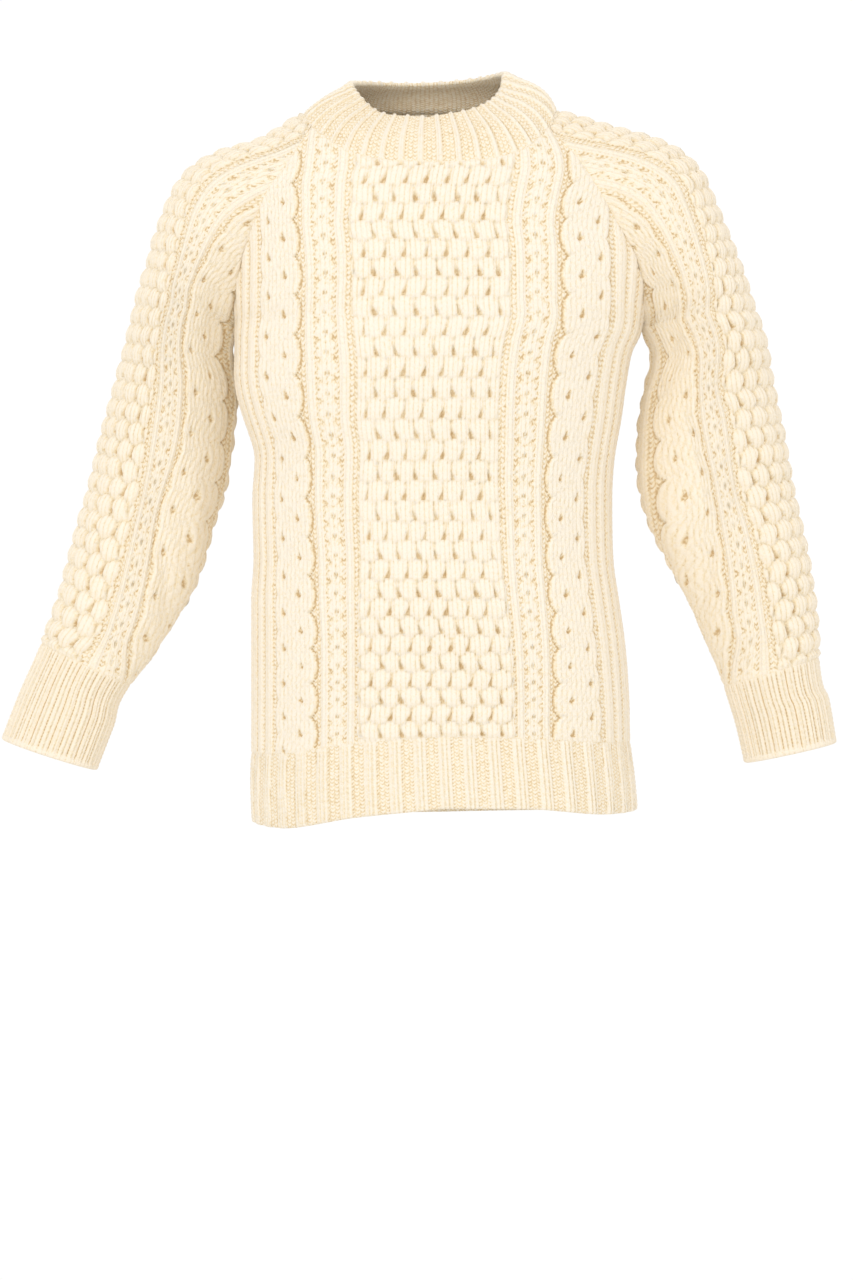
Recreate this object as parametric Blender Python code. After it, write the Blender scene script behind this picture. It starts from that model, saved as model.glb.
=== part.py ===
"""A cable knit sweater with raglan sleeves, in the hollow shape that it has when it is worn.

Each piece is knitted flat and laid over a form: an outline in stitches and millimetres is filled with
points at the middle of the cables, ribs and channels, and the points are put on the form's surface. The
outer face is raised by the cables and ribs, and the inner face is plain.

The frame: +Z up, the front faces -Y, the wearer's left is +X. The origin is the middle of the neck's foot,
where the shoulders carry the sweater. Lengths are in millimetres until a mesh is made.
"""

import bpy
import numpy as np
from mathutils import Vector
from mathutils.geometry import delaunay_2d_cdt
from mathutils.kdtree import KDTree

MILLIMETRE = 0.001
COLLECTION = "cable_knit_sweater"

# The knitting
STITCH = 4.1  # width of one stitch
CABLE_ROW = 16.7  # height of one row of crossed stitches, four rows of knitting
PILLOW = 4.0  # stitches in one pillow of the honeycomb
WALL = 3.0  # from the plain inner face to the foot of the stitches
SEAM_RISE = 0.6  # how far a seam stands above the foot of the stitches
SEAM_TAPER = 5.0  # width of the strip along a seam where the stitches come down to it
HALF_GAP = 0.17  # each piece stops this far from the line of its seam
UNDERARM_GAP = 0.7  # and this far from the point where four pieces meet
MARGIN = 4.6  # no point of a piece's inside lies nearer to its outline
# Spacing of the points on the plain inner face, across and along
PANEL_INNER_STEP = (24.0, 38.0)
SLEEVE_INNER_STEP = (24.0, 26.0)
BAND_INNER_STEP = (26.0, 24.0)
INNER_MARGIN = 8.0
SEAM_REACH = 2.5  # ends of pieces nearer than this are one point of a seam
UNDERARM_REACH = 40.0  # how far from the underarm there is a row of points beside the seams
UNDERARM_ROW = 9.0  # that row's distance from the seams
UNDERARM_CLEAR = 7.0  # other points are no nearer to that row

# The cut
UNDERARM_Z = -175.0
NECK_CORNER_FRONT_Z = -4.0
NECK_CORNER_BACK_Z = 14.0
HALF_BODY = 52.0  # stitches from the middle of the front to a side seam
ROUND = 0.03  # how much fuller than an ellipse the body is between front and side
SLEEVE_TOP = 2.0  # place on the sleeve of the neckline, where 1 is the underarm and 0 the cuff's seam
CUFF_END = -1.0
SIDE_STEPS = 20
RAGLAN_STEPS = 13
HEM_STEPS = 34
SLEEVE_SEAM_STEPS = 18
NECK_STEPS = 22
NECK_SIDE_STEPS = 12
NECK_FINE = 3  # points of the neckline for each of those steps
NECK_RIBS = 40
NECK_ROWS = (0.3, 0.62)
HEM_RIB = 4.95  # stitches in one rib and its channel
CUFF_RIBS = 34
CUFF_ROWS = (0.34, 0.7)
HEM_ROWS = (0.3, 0.65)


def table(columns, *rows):
    """A table as a dictionary of named columns."""
    return dict(zip(columns.split(), np.array(rows, float).T))


# The front and the back at each height. left and right are where the piece ends on the wearer's right
# (-X) and left (+X): the side seam below the underarm, and the raglan seam above it. turn is the angle
# from the middle of the piece to its edges, 90 where it meets the other half side on.
FRONT = table(
    "z left right edge_y middle_y turn",
    (-615, -154, 180, 0, -118, 90),
    (-600, -155, 180, 0, -118, 90),
    (-572, -156, 178, 0, -117, 90),
    (-539, -155, 174, 0, -115, 90),
    (-502, -155, 173, 0, -113, 90),
    (-449, -155, 169, 0, -110, 90),
    (-414, -155, 164, 0, -107, 90),
    (-378, -153, 159, 0, -104, 90),
    (-326, -154, 158, 0, -103, 90),
    (-290, -152, 160, 0, -106, 90),
    (-255, -161, 166, 0, -111, 90),
    (-220, -167, 171, 0, -115, 90),
    (-195, -168, 176, 0, -117, 90),
    (-175, -170, 185, 0, -117, 88),
    (-160, -170, 186, -15, -117, 84),
    (-140, -168, 185, -31, -115, 78),
    (-116, -162, 178, -45, -111, 70),
    (-88, -152, 161, -57, -104, 60),
    (-60, -139, 145, -63, -95, 51),
    (-32, -119, 126, -61, -85, 46),
    (-4, -103, 103, -44, -72, 45),
    (8, -97, 96, -36, -66, 45),
)
BACK = table(
    "z left right edge_y middle_y turn",
    (-615, -154, 180, 0, 112, 90),
    (-600, -155, 180, 0, 112, 90),
    (-572, -156, 178, 0, 111, 90),
    (-539, -155, 174, 0, 109, 90),
    (-502, -155, 173, 0, 107, 90),
    (-449, -155, 169, 0, 102, 90),
    (-414, -155, 164, 0, 97, 90),
    (-378, -153, 159, 0, 93, 90),
    (-326, -154, 158, 0, 92, 90),
    (-290, -152, 160, 0, 94, 90),
    (-255, -161, 166, 0, 99, 90),
    (-220, -167, 171, 0, 104, 90),
    (-195, -168, 176, 0, 108, 90),
    (-175, -170, 185, 0, 110, 88),
    (-160, -169, 185, 17, 112, 84),
    (-140, -165, 181, 36, 113, 78),
    (-116, -157, 172, 52, 113, 70),
    (-88, -147, 157, 66, 111, 60),
    (-60, -133, 140, 75, 107, 52),
    (-32, -118, 123, 77, 100, 48),
    (-8, -107, 109, 70, 91, 47),
    (14, -96, 96, 56, 78, 46),
    (28, -88, 88, 47, 68, 46),
)
# How many stitches there are from the middle of the front or back to a raglan edge.
RAGLAN_STITCHES = table(
    "z front back", (-175, 52, 52), (-140, 47, 47), (-88, 38.5, 40), (-32, 28.5, 31), (14, 23.5, 24)
)
# The hem's seam and its lower edge, round from the middle of the front (0) to a side (90) and the middle
# of the back (180). It hangs lower on the wearer's right.
HEM = table(
    "turn seam_right edge_right seam_left edge_left",
    (0, -531, -592, -531, -592),
    (30, -537, -600, -533, -593),
    (60, -547, -611, -537, -599),
    (90, -548, -608, -539, -598),
    (120, -547, -607, -541, -601),
    (180, -545, -605, -545, -605),
)
# The front neckline from its middle (0) to the raglan corner (1), and the back one.
NECKLINE = table("part front back", (0, -40, 24), (0.5, -35, 23.5), (0.72, -26, 21), (0.88, -13, 17), (1, -4, 14))

# The sleeves. place runs from the cuff's edge (-1), the cuff's seam (0) and the underarm (1) to the
# neckline (2). top is the line over the shoulder and down the outer arm, seam the underarm seam, deep the
# half depth, turn the angle from the top line to the seam, shift turns the cables to the front, and point
# says how sharply the front and back meet at the seam.
LEFT_SLEEVE = table(
    "place top_x top_z top_y seam_x seam_z seam_y deep turn stitches shift point",
    (-1.0, 353, -539, -22, 277, -556, -22, 33, 180, 27.0, -0.02, 0),
    (-0.5, 347, -502, -20, 269, -521, -20, 34, 180, 28.0, -0.02, 0),
    (0.0, 338, -464, -18, 259, -488, -18, 37, 180, 30.0, -0.02, 0),
    (0.15, 335, -424, -15, 244, -450, -14, 42, 180, 33.0, -0.05, 0.05),
    (0.3, 330, -384, -10, 228, -414, -8, 47, 180, 36.0, -0.07, 0.1),
    (0.45, 323, -347, -3, 210, -378, -2, 52, 180, 39.5, -0.09, 0.1),
    (0.6, 316, -312, 3, 193, -342, 3, 56, 180, 43.0, -0.11, 0.1),
    (0.75, 308, -264, 7, 184, -291, 6, 58, 180, 45.0, -0.12, 0.15),
    (0.88, 298, -216, 9, 188, -238, 5, 60, 180, 45.5, -0.13, 0.3),
    (0.95, 293, -186, 8, 195, -202, 2, 61, 180, 45.2, -0.12, 0.5),
    (1.0, 284, -160, 8, 185, -175, 0, 63, 180, 45.0, -0.12, 0.6),
    (1.15, 274, -130, 6, 0, 0, 0, 67, 146, 41.5, -0.10, 0.7),
    (1.3, 262, -98, 5, 0, 0, 0, 70, 116, 37.5, -0.08, 0.6),
    (1.45, 248, -64, 4, 0, 0, 0, 71, 94, 33.0, -0.06, 0.4),
    (1.6, 233, -34, 2, 0, 0, 0, 70, 80, 28.0, -0.04, 0.2),
    (1.75, 203, -13, 1, 0, 0, 0, 66, 74, 22.5, -0.02, 0.1),
    (1.88, 160, -1, 0, 0, 0, 0, 58, 74, 17.5, 0.0, 0),
    (2.0, 110, 14, 0, 0, 0, 0, 47, 75, 12.6, 0.0, 0),
)
RIGHT_SLEEVE = table(
    "place top_x top_z top_y seam_x seam_z seam_y deep turn stitches shift point",
    (-1.0, -372, -536, -26, -293, -562, -26, 33, 180, 27.0, -0.02, 0),
    (-0.5, -356, -494, -22, -279, -525, -22, 34, 180, 28.0, -0.02, 0),
    (0.0, -338, -452, -17, -264, -487, -17, 37, 180, 30.0, -0.02, 0),
    (0.15, -327, -424, -10, -248, -466, -9, 42, 180, 33.0, -0.05, 0.05),
    (0.3, -318, -390, 0, -227, -434, 1, 47, 180, 36.0, -0.07, 0.1),
    (0.45, -310, -355, 9, -208, -397, 11, 52, 180, 39.0, -0.09, 0.1),
    (0.6, -299, -315, 17, -194, -350, 20, 55, 180, 41.5, -0.11, 0.1),
    (0.75, -288, -267, 23, -180, -300, 26, 57, 180, 42.5, -0.12, 0.2),
    (0.88, -273, -213, 22, -174, -240, 20, 59, 180, 43.0, -0.13, 0.4),
    (0.95, -264, -180, 17, -177, -202, 6, 60, 180, 42.8, -0.12, 0.5),
    (1.0, -256, -150, 12, -170, -175, 0, 62, 180, 42.5, -0.12, 0.6),
    (1.15, -247, -122, 9, 0, 0, 0, 66, 146, 39.5, -0.10, 0.7),
    (1.3, -239, -93, 6, 0, 0, 0, 69, 116, 36.0, -0.08, 0.6),
    (1.45, -227, -62, 4, 0, 0, 0, 70, 94, 32.0, -0.06, 0.4),
    (1.6, -211, -38, 2, 0, 0, 0, 69, 80, 27.0, -0.04, 0.2),
    (1.75, -184, -22, 1, 0, 0, 0, 65, 74, 22.0, -0.02, 0.1),
    (1.88, -150, -12, 0, 0, 0, 0, 58, 74, 17.5, 0.0, 0),
    (2.0, -110, 12, 0, 0, 0, 0, 47, 75, 12.6, 0.0, 0),
)
RAGLAN_Z = table(
    "place front back",
    (1, -175, -175),
    (1.15, -150, -148),
    (1.3, -124, -118),
    (1.45, -98, -89),
    (1.6, -71, -60),
    (1.75, -46, -31),
    (1.88, -25, -8),
    (2, -4, 14),
)
# The soft folds of the sleeves: where, how long and wide in stitches and millimetres, and how far out.
SLEEVE_FOLDS = table(
    "stitch along across length tilt rise",
    (-31, 120, 3.0, 60, 0.10, 3.5),
    (-25, 92, 2.6, 55, 0.14, -3.0),
    (27, 105, 3.0, 62, -0.10, 3.2),
    (-33, 300, 3.4, 60, 0.02, -3.5),
    (30, 215, 3.2, 70, -0.06, 3.0),
)

FOLD_FADE = 0.2  # the folds end over this part of the way to the underarm seam

# The neckband's upper edge, round from the middle of the front (0) to the middle of the back (180), and
# how far the band stands out between its seam and its edge.
NECK_EDGE = table(
    "turn right left full_right full_left",
    (0, 1.5, 1.5, 5, 5),
    (40, 8.5, 12.5, 5, 5),
    (70, 30, 30, 4, 7),
    (90, 40, 48, 3, 9),
    (120, 46, 52, 4, 7),
    (180, 50, 50, 5, 5),
)
NECK_EDGE_HALF = 65.0
NECK_EDGE_MIDDLE_X = -2.0
NECK_EDGE_FRONT = 64.0
NECK_EDGE_BACK = 58.0

# How far the wearing has drawn the front's bands aside at each height, in stitches to the wearer's left (+X):
# the cable, the honeycomb's two edges, the other cable and its far side. DRAWN_STITCHES says where they were.
DRAWN_STITCHES = (-26.5, -15.0, 15.0, 26.5, 36.6)
FRONT_DRAWN = table(
    "z right_cable right_edge left_edge left_cable left_side",
    (-518, 1.3, -1.2, -0.7, -3.8, -2.0),
    (-458, 1.3, -1.0, -0.5, -3.0, -2.2),
    (-398, 0.8, -0.7, -0.4, -2.2, -1.9),
    (-338, 0.0, -1.0, -0.5, -1.9, -1.9),
    (-278, -0.4, -1.0, -1.5, -2.4, -1.9),
    (-218, 0.3, 0.2, -1.6, -2.7, -2.0),
    (-158, -0.4, -1.8, -1.5, -2.9, -1.8),
    (-98, -1.0, -1.9, -1.4, -2.3, -1.4),
    (-72, -0.6, -1.0, -0.7, -1.2, -0.8),
    (-45, 0, 0, 0, 0, 0),
)
DRAWN_FADE = 8.0  # and they fade out over this many stitches beside the panel's edges

# How far the bands of the sleeves' front halves are drawn away from the top line at each length above the
# cuff's seam, in stitches: the honeycomb's edge, and the edge, the two eyes and the far side of the wave cable.
SLEEVE_STITCHES = (14.0, 25.5, 29.2, 33.3, 35.6)
LEFT_SLEEVE_DRAWN = table(
    "along edge cable near_eye far_eye side",
    (60, 0.0, -4.0, -4.5, -4.5, -4.0),
    (126, -0.1, -5.8, -6.4, -6.3, -5.5),
    (162, 0.4, -6.4, -8.2, -7.0, -6.0),
    (217, 0.6, -4.4, -5.8, -4.1, -3.5),
    (253, 2.2, -3.5, -2.9, -1.7, -1.5),
    (308, 3.0, 2.0, 1.5, 1.0, 0.5),
    (363, 0.5, 1.0, 0.6, 0.0, -0.4),
    (430, 0, 0, 0, 0, 0),
)
RIGHT_SLEEVE_DRAWN = table(
    "along edge cable near_eye far_eye side",
    (55, 1.5, -3.6, -3.6, -3.4, -3.2),
    (148, 0.6, -5.7, -5.7, -5.5, -4.2),
    (212, 0.0, -3.5, -4.2, -3.0, -3.0),
    (254, 0.2, -3.0, -3.0, -3.0, -2.6),
    (330, 1.5, -2.0, -2.0, -2.0, -2.0),
    (430, 0, 0, 0, 0, 0),
)
SLEEVE_FADE = 6.0  # and they fade out over this many stitches beside the seam and over this many
CUFF_FADE = 40.0  # millimetres above the cuff

# The bands of the panels and sleeves, from the middle outwards: where each line of points lies in
# stitches, and its height above the foot of the stitches on even and odd cable rows.
PANEL_HONEYCOMB = 15.0
PANEL_LINES = table(
    "stitch even odd",
    (15.8, 0.5, 0.5),
    (17.5, 2.0, 2.0),
    (19.1, 0.7, 0.7),
    (21.0, 2.3, 1.2),
    (22.9, 0.7, 0.7),
    (24.5, 2.0, 2.0),
    (26.1, 0.4, 0.4),
    (28.8, 2.7, 1.1),
    (31.5, 1.9, 1.9),
    (34.2, 1.1, 2.7),
    (36.9, 0.4, 0.4),
    (38.5, 1.9, 1.9),
    (40.2, 0.4, 0.4),
    (42.0, 1.8, 1.8),
    (44.4, 0.8, 0.8),
    (48.2, 1.2, 1.0),
)
SLEEVE_HONEYCOMB = 14.0
SLEEVE_LINES = table(  # with the cable turned round
    "stitch even odd",
    (14.8, 0.5, 0.5),
    (16.5, 2.0, 2.0),
    (18.1, 0.7, 0.7),
    (20.0, 2.3, 1.2),
    (21.9, 0.7, 0.7),
    (23.5, 2.0, 2.0),
    (25.1, 0.4, 0.4),
    (27.8, 1.1, 2.7),
    (30.5, 1.9, 1.9),
    (33.2, 2.7, 1.1),
    (36.0, 0.4, 0.4),
    (38.5, 1.6, 1.6),
    (42.0, 0.7, 0.7),
    (46.0, 1.1, 1.1),
)
PILLOW_HIGH = 3.0
PILLOW_LOW = 0.5
RIB_HIGH = 2.0
RIB_LOW = 0.3

WOOL = (0.93, 0.84, 0.68, 1.0)
WOOL_ROUGHNESS = 0.95
SHARP = 0.3  # radians between faces above which an edge is drawn sharp


# ---------------------------------------------------------------- smooth lines through tables


def through(rows, key, value, at):
    """A smooth line through the rows of a table, read at the given places. It doesn't pass its own rows."""
    knots, heights = rows[key], rows[value]
    steps = np.diff(heights) / np.diff(knots)
    slopes = np.gradient(heights, knots)
    steepest = 3 * np.minimum(np.abs(steps[:-1]), np.abs(steps[1:]))
    inner = np.sign(steps[1:]) * np.minimum(np.abs(slopes[1:-1]), steepest)
    slopes[1:-1] = np.where(steps[:-1] * steps[1:] > 0, inner, 0)
    at = np.clip(at, knots[0], knots[-1])
    i = np.clip(np.searchsorted(knots, at, side="right") - 1, 0, len(knots) - 2)
    gap = knots[i + 1] - knots[i]
    t = (at - knots[i]) / gap
    start = heights[i] * (1 + 2 * t) + slopes[i] * gap * t
    end = heights[i + 1] * (3 - 2 * t) + slopes[i + 1] * gap * (t - 1)
    return start * (1 - t) ** 2 + end * t**2


def even_angle(part, turn, wide, deep):
    """The angle on an ellipse that lies the given part of the way along its arc from 0 to turn."""
    mean, swing = (wide + deep) / 2, (wide - deep) / 4
    target = part * (mean * turn + swing * np.sin(2 * turn))
    angle = part * turn
    for _ in range(4):
        error = mean * angle + swing * np.sin(2 * angle) - target
        angle = angle - error / (mean + 2 * swing * np.cos(2 * angle))
    return angle


# ---------------------------------------------------------------- the forms


def panel_stitches(z, name):
    """How many stitches there are from the middle of a panel to its edge at a height."""
    raglan = through(RAGLAN_STITCHES, "z", name, z)
    return np.where(z < UNDERARM_Z, HALF_BODY, raglan)


def panel_form(rows, name, facing):
    """The surface of the front (facing -1) or back (1): stitches from the middle, and height, to points."""

    def form(stitch, z):
        part = stitch / panel_stitches(z, name)
        turn = np.radians(through(rows, "z", "turn", z))
        left, right = through(rows, "z", "left", z), through(rows, "z", "right", z)
        edge_y, middle_y = through(rows, "z", "edge_y", z), through(rows, "z", "middle_y", z)
        half = (right - left) / 2 / np.sin(turn)
        deep = (edge_y - middle_y) / (1 - np.cos(turn))
        angle = even_angle(np.abs(part), turn, half, np.abs(deep))
        full = 1 + ROUND * np.sin(2 * np.clip(angle * (np.pi / 2) / turn, 0, np.pi)) ** 2
        x = (left + right) / 2 - facing * np.sign(part) * half * np.sin(angle) * full
        y = edge_y - deep * (np.cos(angle) - np.cos(turn)) * full
        return np.stack([x, y, z + 0 * x], axis=-1)

    return form


FRONT_FORM = panel_form(FRONT, "front", -1)
BACK_FORM = panel_form(BACK, "back", 1)


def drawn(stitch, z):
    """Where a stitch of the front has been drawn to, in stitches of the form from its middle."""
    knots = (-HALF_BODY, *DRAWN_STITCHES, HALF_BODY)
    shift = 0
    for i, key in enumerate(list(FRONT_DRAWN)[1:], 1):
        here = [float(i == j) for j in range(len(knots))]
        shift = shift + np.interp(stitch, knots, here) * through(FRONT_DRAWN, "z", key, z)
    room = np.clip((panel_stitches(z, "front") - np.abs(stitch)) / DRAWN_FADE, 0, 1)
    return stitch + shift * room * room * (3 - 2 * room)


def worn_front(stitch, z):
    """The surface of the front at a stitch of its own."""
    return FRONT_FORM(drawn(stitch, z), z)


def worn_sleeve(sleeve, stitch, along):
    """The surface of a sleeve at a stitch of its own, whose front half the wearing has drawn aside."""
    rows = LEFT_SLEEVE_DRAWN if sleeve.side > 0 else RIGHT_SLEEVE_DRAWN
    knots = (0.0, *SLEEVE_STITCHES, HALF_BODY)
    shift = 0
    for i, key in enumerate(list(rows)[1:], 1):
        here = [float(i == j) for j in range(len(knots))]
        shift = shift + np.interp(-stitch, knots, here) * through(rows, "along", key, along)
    place = np.interp(along, sleeve.lengths["along"], sleeve.lengths["place"])
    for room in ((stitch - sleeve.edge_stitch(place, -1)) / SLEEVE_FADE, along / CUFF_FADE):
        room = np.clip(room, 0, 1)
        shift = shift * room * room * (3 - 2 * room)
    return sleeve.form(stitch - shift, along)


def raglan_point(rows, side, z):
    """A point on a raglan seam: side is 1 on the wearer's left and -1 on the right."""
    x = through(rows, "z", "right" if side > 0 else "left", z)
    return x, through(rows, "z", "edge_y", z)


def sleeve_lengths(rows):
    """The length from the cuff's seam along the top line, as a table of place and length."""
    place = np.linspace(CUFF_END, SLEEVE_TOP, 241)
    x, z = through(rows, "place", "top_x", place), through(rows, "place", "top_z", place)
    along = np.concatenate([[0], np.cumsum(np.hypot(np.diff(x), np.diff(z)))])
    return {"place": place, "along": along - np.interp(0, place, along)}


def sleeve_form(rows, side):
    """The surface of a sleeve: stitches from the top line, and millimetres from the cuff, to points."""
    lengths = sleeve_lengths(rows)

    def edges(place):
        """The seam at the front and at the back of the sleeve."""
        below = [through(rows, "place", k, np.minimum(place, 1)) for k in ("seam_x", "seam_y", "seam_z")]
        found = []
        for panel, name in ((FRONT, "front"), (BACK, "back")):
            z = through(RAGLAN_Z, "place", name, place)
            x, y = raglan_point(panel, side, z)
            found.append([np.where(place > 1, a, b) for a, b in zip((x, y, z), below)])
        return found

    def form(stitch, along):
        place = np.interp(along, lengths["along"], lengths["place"])
        part = stitch / through(rows, "place", "stitches", place) + through(rows, "place", "shift", place)
        turn = np.radians(through(rows, "place", "turn", place))
        top = [through(rows, "place", k, place) for k in ("top_x", "top_y", "top_z")]
        deep = through(rows, "place", "deep", place)
        front, back = edges(place)
        edge = [np.where(part < 0, a, b) for a, b in zip(front, back)]
        reach = [(t - e) / (1 - np.cos(turn)) for t, e in zip(top, edge)]
        angle = even_angle(np.abs(part), turn, np.hypot(reach[0], reach[2]), deep)
        share = np.clip(angle / turn, 0, None) ** 2
        point = through(rows, "place", "point", place)
        inward = (1 - point) * (1 - np.cos(angle)) / (1 - np.cos(turn)) + point * share
        x = top[0] - (top[0] - edge[0]) * inward
        z = top[2] - (top[2] - edge[2]) * inward
        back_side = np.sign(part)
        y_edge = (edge[1] - top[1]) * back_side
        y = top[1] + back_side * (deep * np.sin(angle) + (y_edge - deep * np.sin(turn)) * share)
        fade = np.clip((1 - np.abs(part)) / FOLD_FADE, 0, 1)
        fold = fade * sleeve_fold(stitch, along) / np.maximum(np.hypot(reach[0], reach[2]), 30)
        x = x + fold * reach[0] * np.cos(angle)
        z = z + fold * reach[2] * np.cos(angle)
        y = y + fold * back_side * deep * np.sin(angle)
        return np.stack([x, y, z], axis=-1)

    return form


def sleeve_fold(stitch, along):
    """How far the soft folds push a sleeve out."""
    rise = 0 * stitch
    for row in zip(*SLEEVE_FOLDS.values()):
        at, height, across, length, tilt, out = row
        off = (stitch - at - tilt * (along - height)) / across
        rise = rise + out * np.exp(-(off**2) - ((along - height) / length) ** 2)
    return rise


class Sleeve:
    """One sleeve: its table, its form, and places on it in millimetres from the cuff's seam."""

    def __init__(self, rows, side):
        self.rows, self.side = rows, side
        self.form = sleeve_form(rows, side)
        self.lengths = sleeve_lengths(rows)

    def along(self, place):
        return np.interp(place, self.lengths["place"], self.lengths["along"])

    def edge_stitch(self, place, end):
        """The stitch at the front (end -1) or back (end 1) edge."""
        shift = through(self.rows, "place", "shift", place)
        return (end - shift) * through(self.rows, "place", "stitches", place)


def mirrored(form):
    """The same form with its stitches counted the other way, so that its outer face stays out."""
    return lambda stitch, along: form(-stitch, along)


LEFT = Sleeve(LEFT_SLEEVE, 1)
RIGHT = Sleeve(RIGHT_SLEEVE, -1)


def hem_height(stitch, facing, edge):
    """The height of the hem's seam or lower edge at a stitch of the front (-1) or back (1)."""
    part = 90 * np.abs(stitch) / HALF_BODY
    turn = part if facing < 0 else 180 - part
    on_left = stitch * facing < 0
    return np.where(on_left, through(HEM, "turn", edge + "_left", turn), through(HEM, "turn", edge + "_right", turn))


def neck_height(stitch, name):
    """The height of the front or back neckline at a stitch."""
    corner = panel_stitches(NECK_CORNER_FRONT_Z if name == "front" else NECK_CORNER_BACK_Z, name)
    return through(NECKLINE, "part", name, np.abs(stitch) / corner)


def neck_ring():
    """The neckline's points in order, from the back right corner round the front and the back."""
    runs = []
    front_corner = float(panel_stitches(NECK_CORNER_FRONT_Z, "front"))
    back_corner = float(panel_stitches(NECK_CORNER_BACK_Z, "back"))
    for sleeve in (RIGHT, LEFT):
        ends = [sleeve.edge_stitch(SLEEVE_TOP, end) for end in (-1, 1)]
        stitch = np.linspace(*ends, NECK_FINE * NECK_SIDE_STEPS + 1)
        points = sleeve.form(stitch, sleeve.along(SLEEVE_TOP) + 0 * stitch)
        runs.append(points if sleeve.side > 0 else points[::-1])
    for corner, form, name in ((front_corner, FRONT_FORM, "front"), (back_corner, BACK_FORM, "back")):
        stitch = np.linspace(-corner, corner, NECK_FINE * NECK_STEPS + 1)
        runs.append(form(stitch, neck_height(stitch, name)))
    right, left, front, back = runs
    return np.concatenate([right[:-1], front[:-1], left[:-1], back])


def neckband_form():
    """The band's surface: millimetres round its seam, and part of its height, to points."""
    ring = neck_ring()
    around = np.concatenate([[0], np.cumsum(np.linalg.norm(np.diff(ring, axis=0), axis=1))])

    def form(millimetres, part):
        foot = np.stack([np.interp(millimetres, around, ring[:, i]) for i in range(3)], axis=-1)
        turn = np.arctan2(foot[..., 0] - NECK_EDGE_MIDDLE_X, -foot[..., 1])
        deep = np.where(np.cos(turn) > 0, NECK_EDGE_FRONT, NECK_EDGE_BACK)
        degrees = np.degrees(np.abs(turn))
        height, full = [
            np.where(
                turn > 0,
                through(NECK_EDGE, "turn", key + "left", degrees),
                through(NECK_EDGE, "turn", key + "right", degrees),
            )
            for key in ("", "full_")
        ]
        x = NECK_EDGE_MIDDLE_X + NECK_EDGE_HALF * np.sin(turn)
        edge = np.stack([x, -deep * np.cos(turn), height], axis=-1)
        out = np.stack([np.sin(turn), -np.cos(turn), 0.5 + 0 * turn], axis=-1)
        part = np.asarray(part)[..., None]
        return foot * (1 - part) + edge * part + full[..., None] * np.sin(np.pi * part) * out

    return form, around


NECK_FORM, NECK_AROUND = neckband_form()


# ---------------------------------------------------------------- the outlines and their points


class Piece:
    """A knitted piece: its outline and inner points in flat millimetres, and how it lies on its form."""

    def __init__(self, name, form, outline, points, rise, inner_step, open_edge=None, underarms=()):
        self.name = name
        self.form = form  # flat millimetres to points in the frame
        self.outline = outline  # anticlockwise, seen from outside
        self.points = points
        self.rise = rise  # flat millimetres to the height of the stitches
        self.inner_step = inner_step
        self.open_edge = open_edge  # flat millimetres to True where the outline is a free edge
        self.underarms = underarms  # where the outline comes to the underarm

    def normals(self, flat):
        step = 0.6
        x, y = flat[:, 0], flat[:, 1]
        across = self.form(x + step, y) - self.form(x - step, y)
        up = self.form(x, y + step) - self.form(x, y - step)
        normal = np.cross(across, up)
        return normal / np.linalg.norm(normal, axis=1, keepdims=True)


def moved_in(outline, distance):
    """The points of an outline, moved into it."""
    before, after = np.roll(outline, 1, axis=0), np.roll(outline, -1, axis=0)
    unit = [d / np.linalg.norm(d, axis=1, keepdims=True) for d in (outline - before, after - outline)]
    inward = [np.stack([-u[:, 1], u[:, 0]], axis=1) for u in unit]
    bisector = inward[0] + inward[1]
    shared = 1 + (inward[0] * inward[1]).sum(axis=1, keepdims=True)
    return outline + distance * bisector / np.maximum(shared, 0.35)


def seam_gaps(piece):
    """How far each point of a piece's outline stops from the line of its seam."""
    gaps = np.full((len(piece.outline), 1), HALF_GAP)
    for corner in piece.underarms:
        gaps[np.linalg.norm(piece.outline - corner, axis=1) < 1] = UNDERARM_GAP
    return gaps


def distance_to(outline, points):
    """How far each point lies from an outline, and whether it is inside it."""
    nearest = np.full(len(points), 1e9)
    inside = np.zeros(len(points), bool)
    for a, b in zip(outline, np.roll(outline, -1, axis=0)):
        run = b - a
        t = np.clip(((points - a) @ run) / (run @ run), 0, 1)
        nearest = np.minimum(nearest, np.linalg.norm(points - a - t[:, None] * run, axis=1))
        crosses = (a[1] > points[:, 1]) != (b[1] > points[:, 1])
        if a[1] != b[1]:
            at = a[0] + (points[:, 1] - a[1]) / (b[1] - a[1]) * run[0]
            inside ^= crosses & (points[:, 0] < at)
    return nearest, inside


def inside_points(outline, points, margin):
    nearest, inside = distance_to(outline, points)
    return points[inside & (nearest > margin)]


def with_underarm_rows(piece, points):
    """A piece's inner points, with a row of points close to its seams at the underarm."""
    rows = [np.zeros((0, 2))]
    for corner in piece.underarms:
        near = np.linalg.norm(piece.outline - corner, axis=1) < UNDERARM_REACH
        rows.append(moved_in(piece.outline, UNDERARM_ROW)[near])
    rows = inside_points(piece.outline, np.concatenate(rows), UNDERARM_ROW / 2)
    if len(rows):
        apart = np.linalg.norm(points[:, None] - rows[None], axis=2).min(axis=1)
        points = points[apart > UNDERARM_CLEAR]
    return np.concatenate([points, rows])


def band_lines(lines, honeycomb, last):
    """Where the lines of points lie across a panel or sleeve, in stitches, from one edge to the other."""
    pillows = np.arange(0, honeycomb, PILLOW / 2)
    half = np.concatenate([pillows, lines["stitch"]])
    half = half[half < last]
    return np.concatenate([-half[:0:-1], half])


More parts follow.
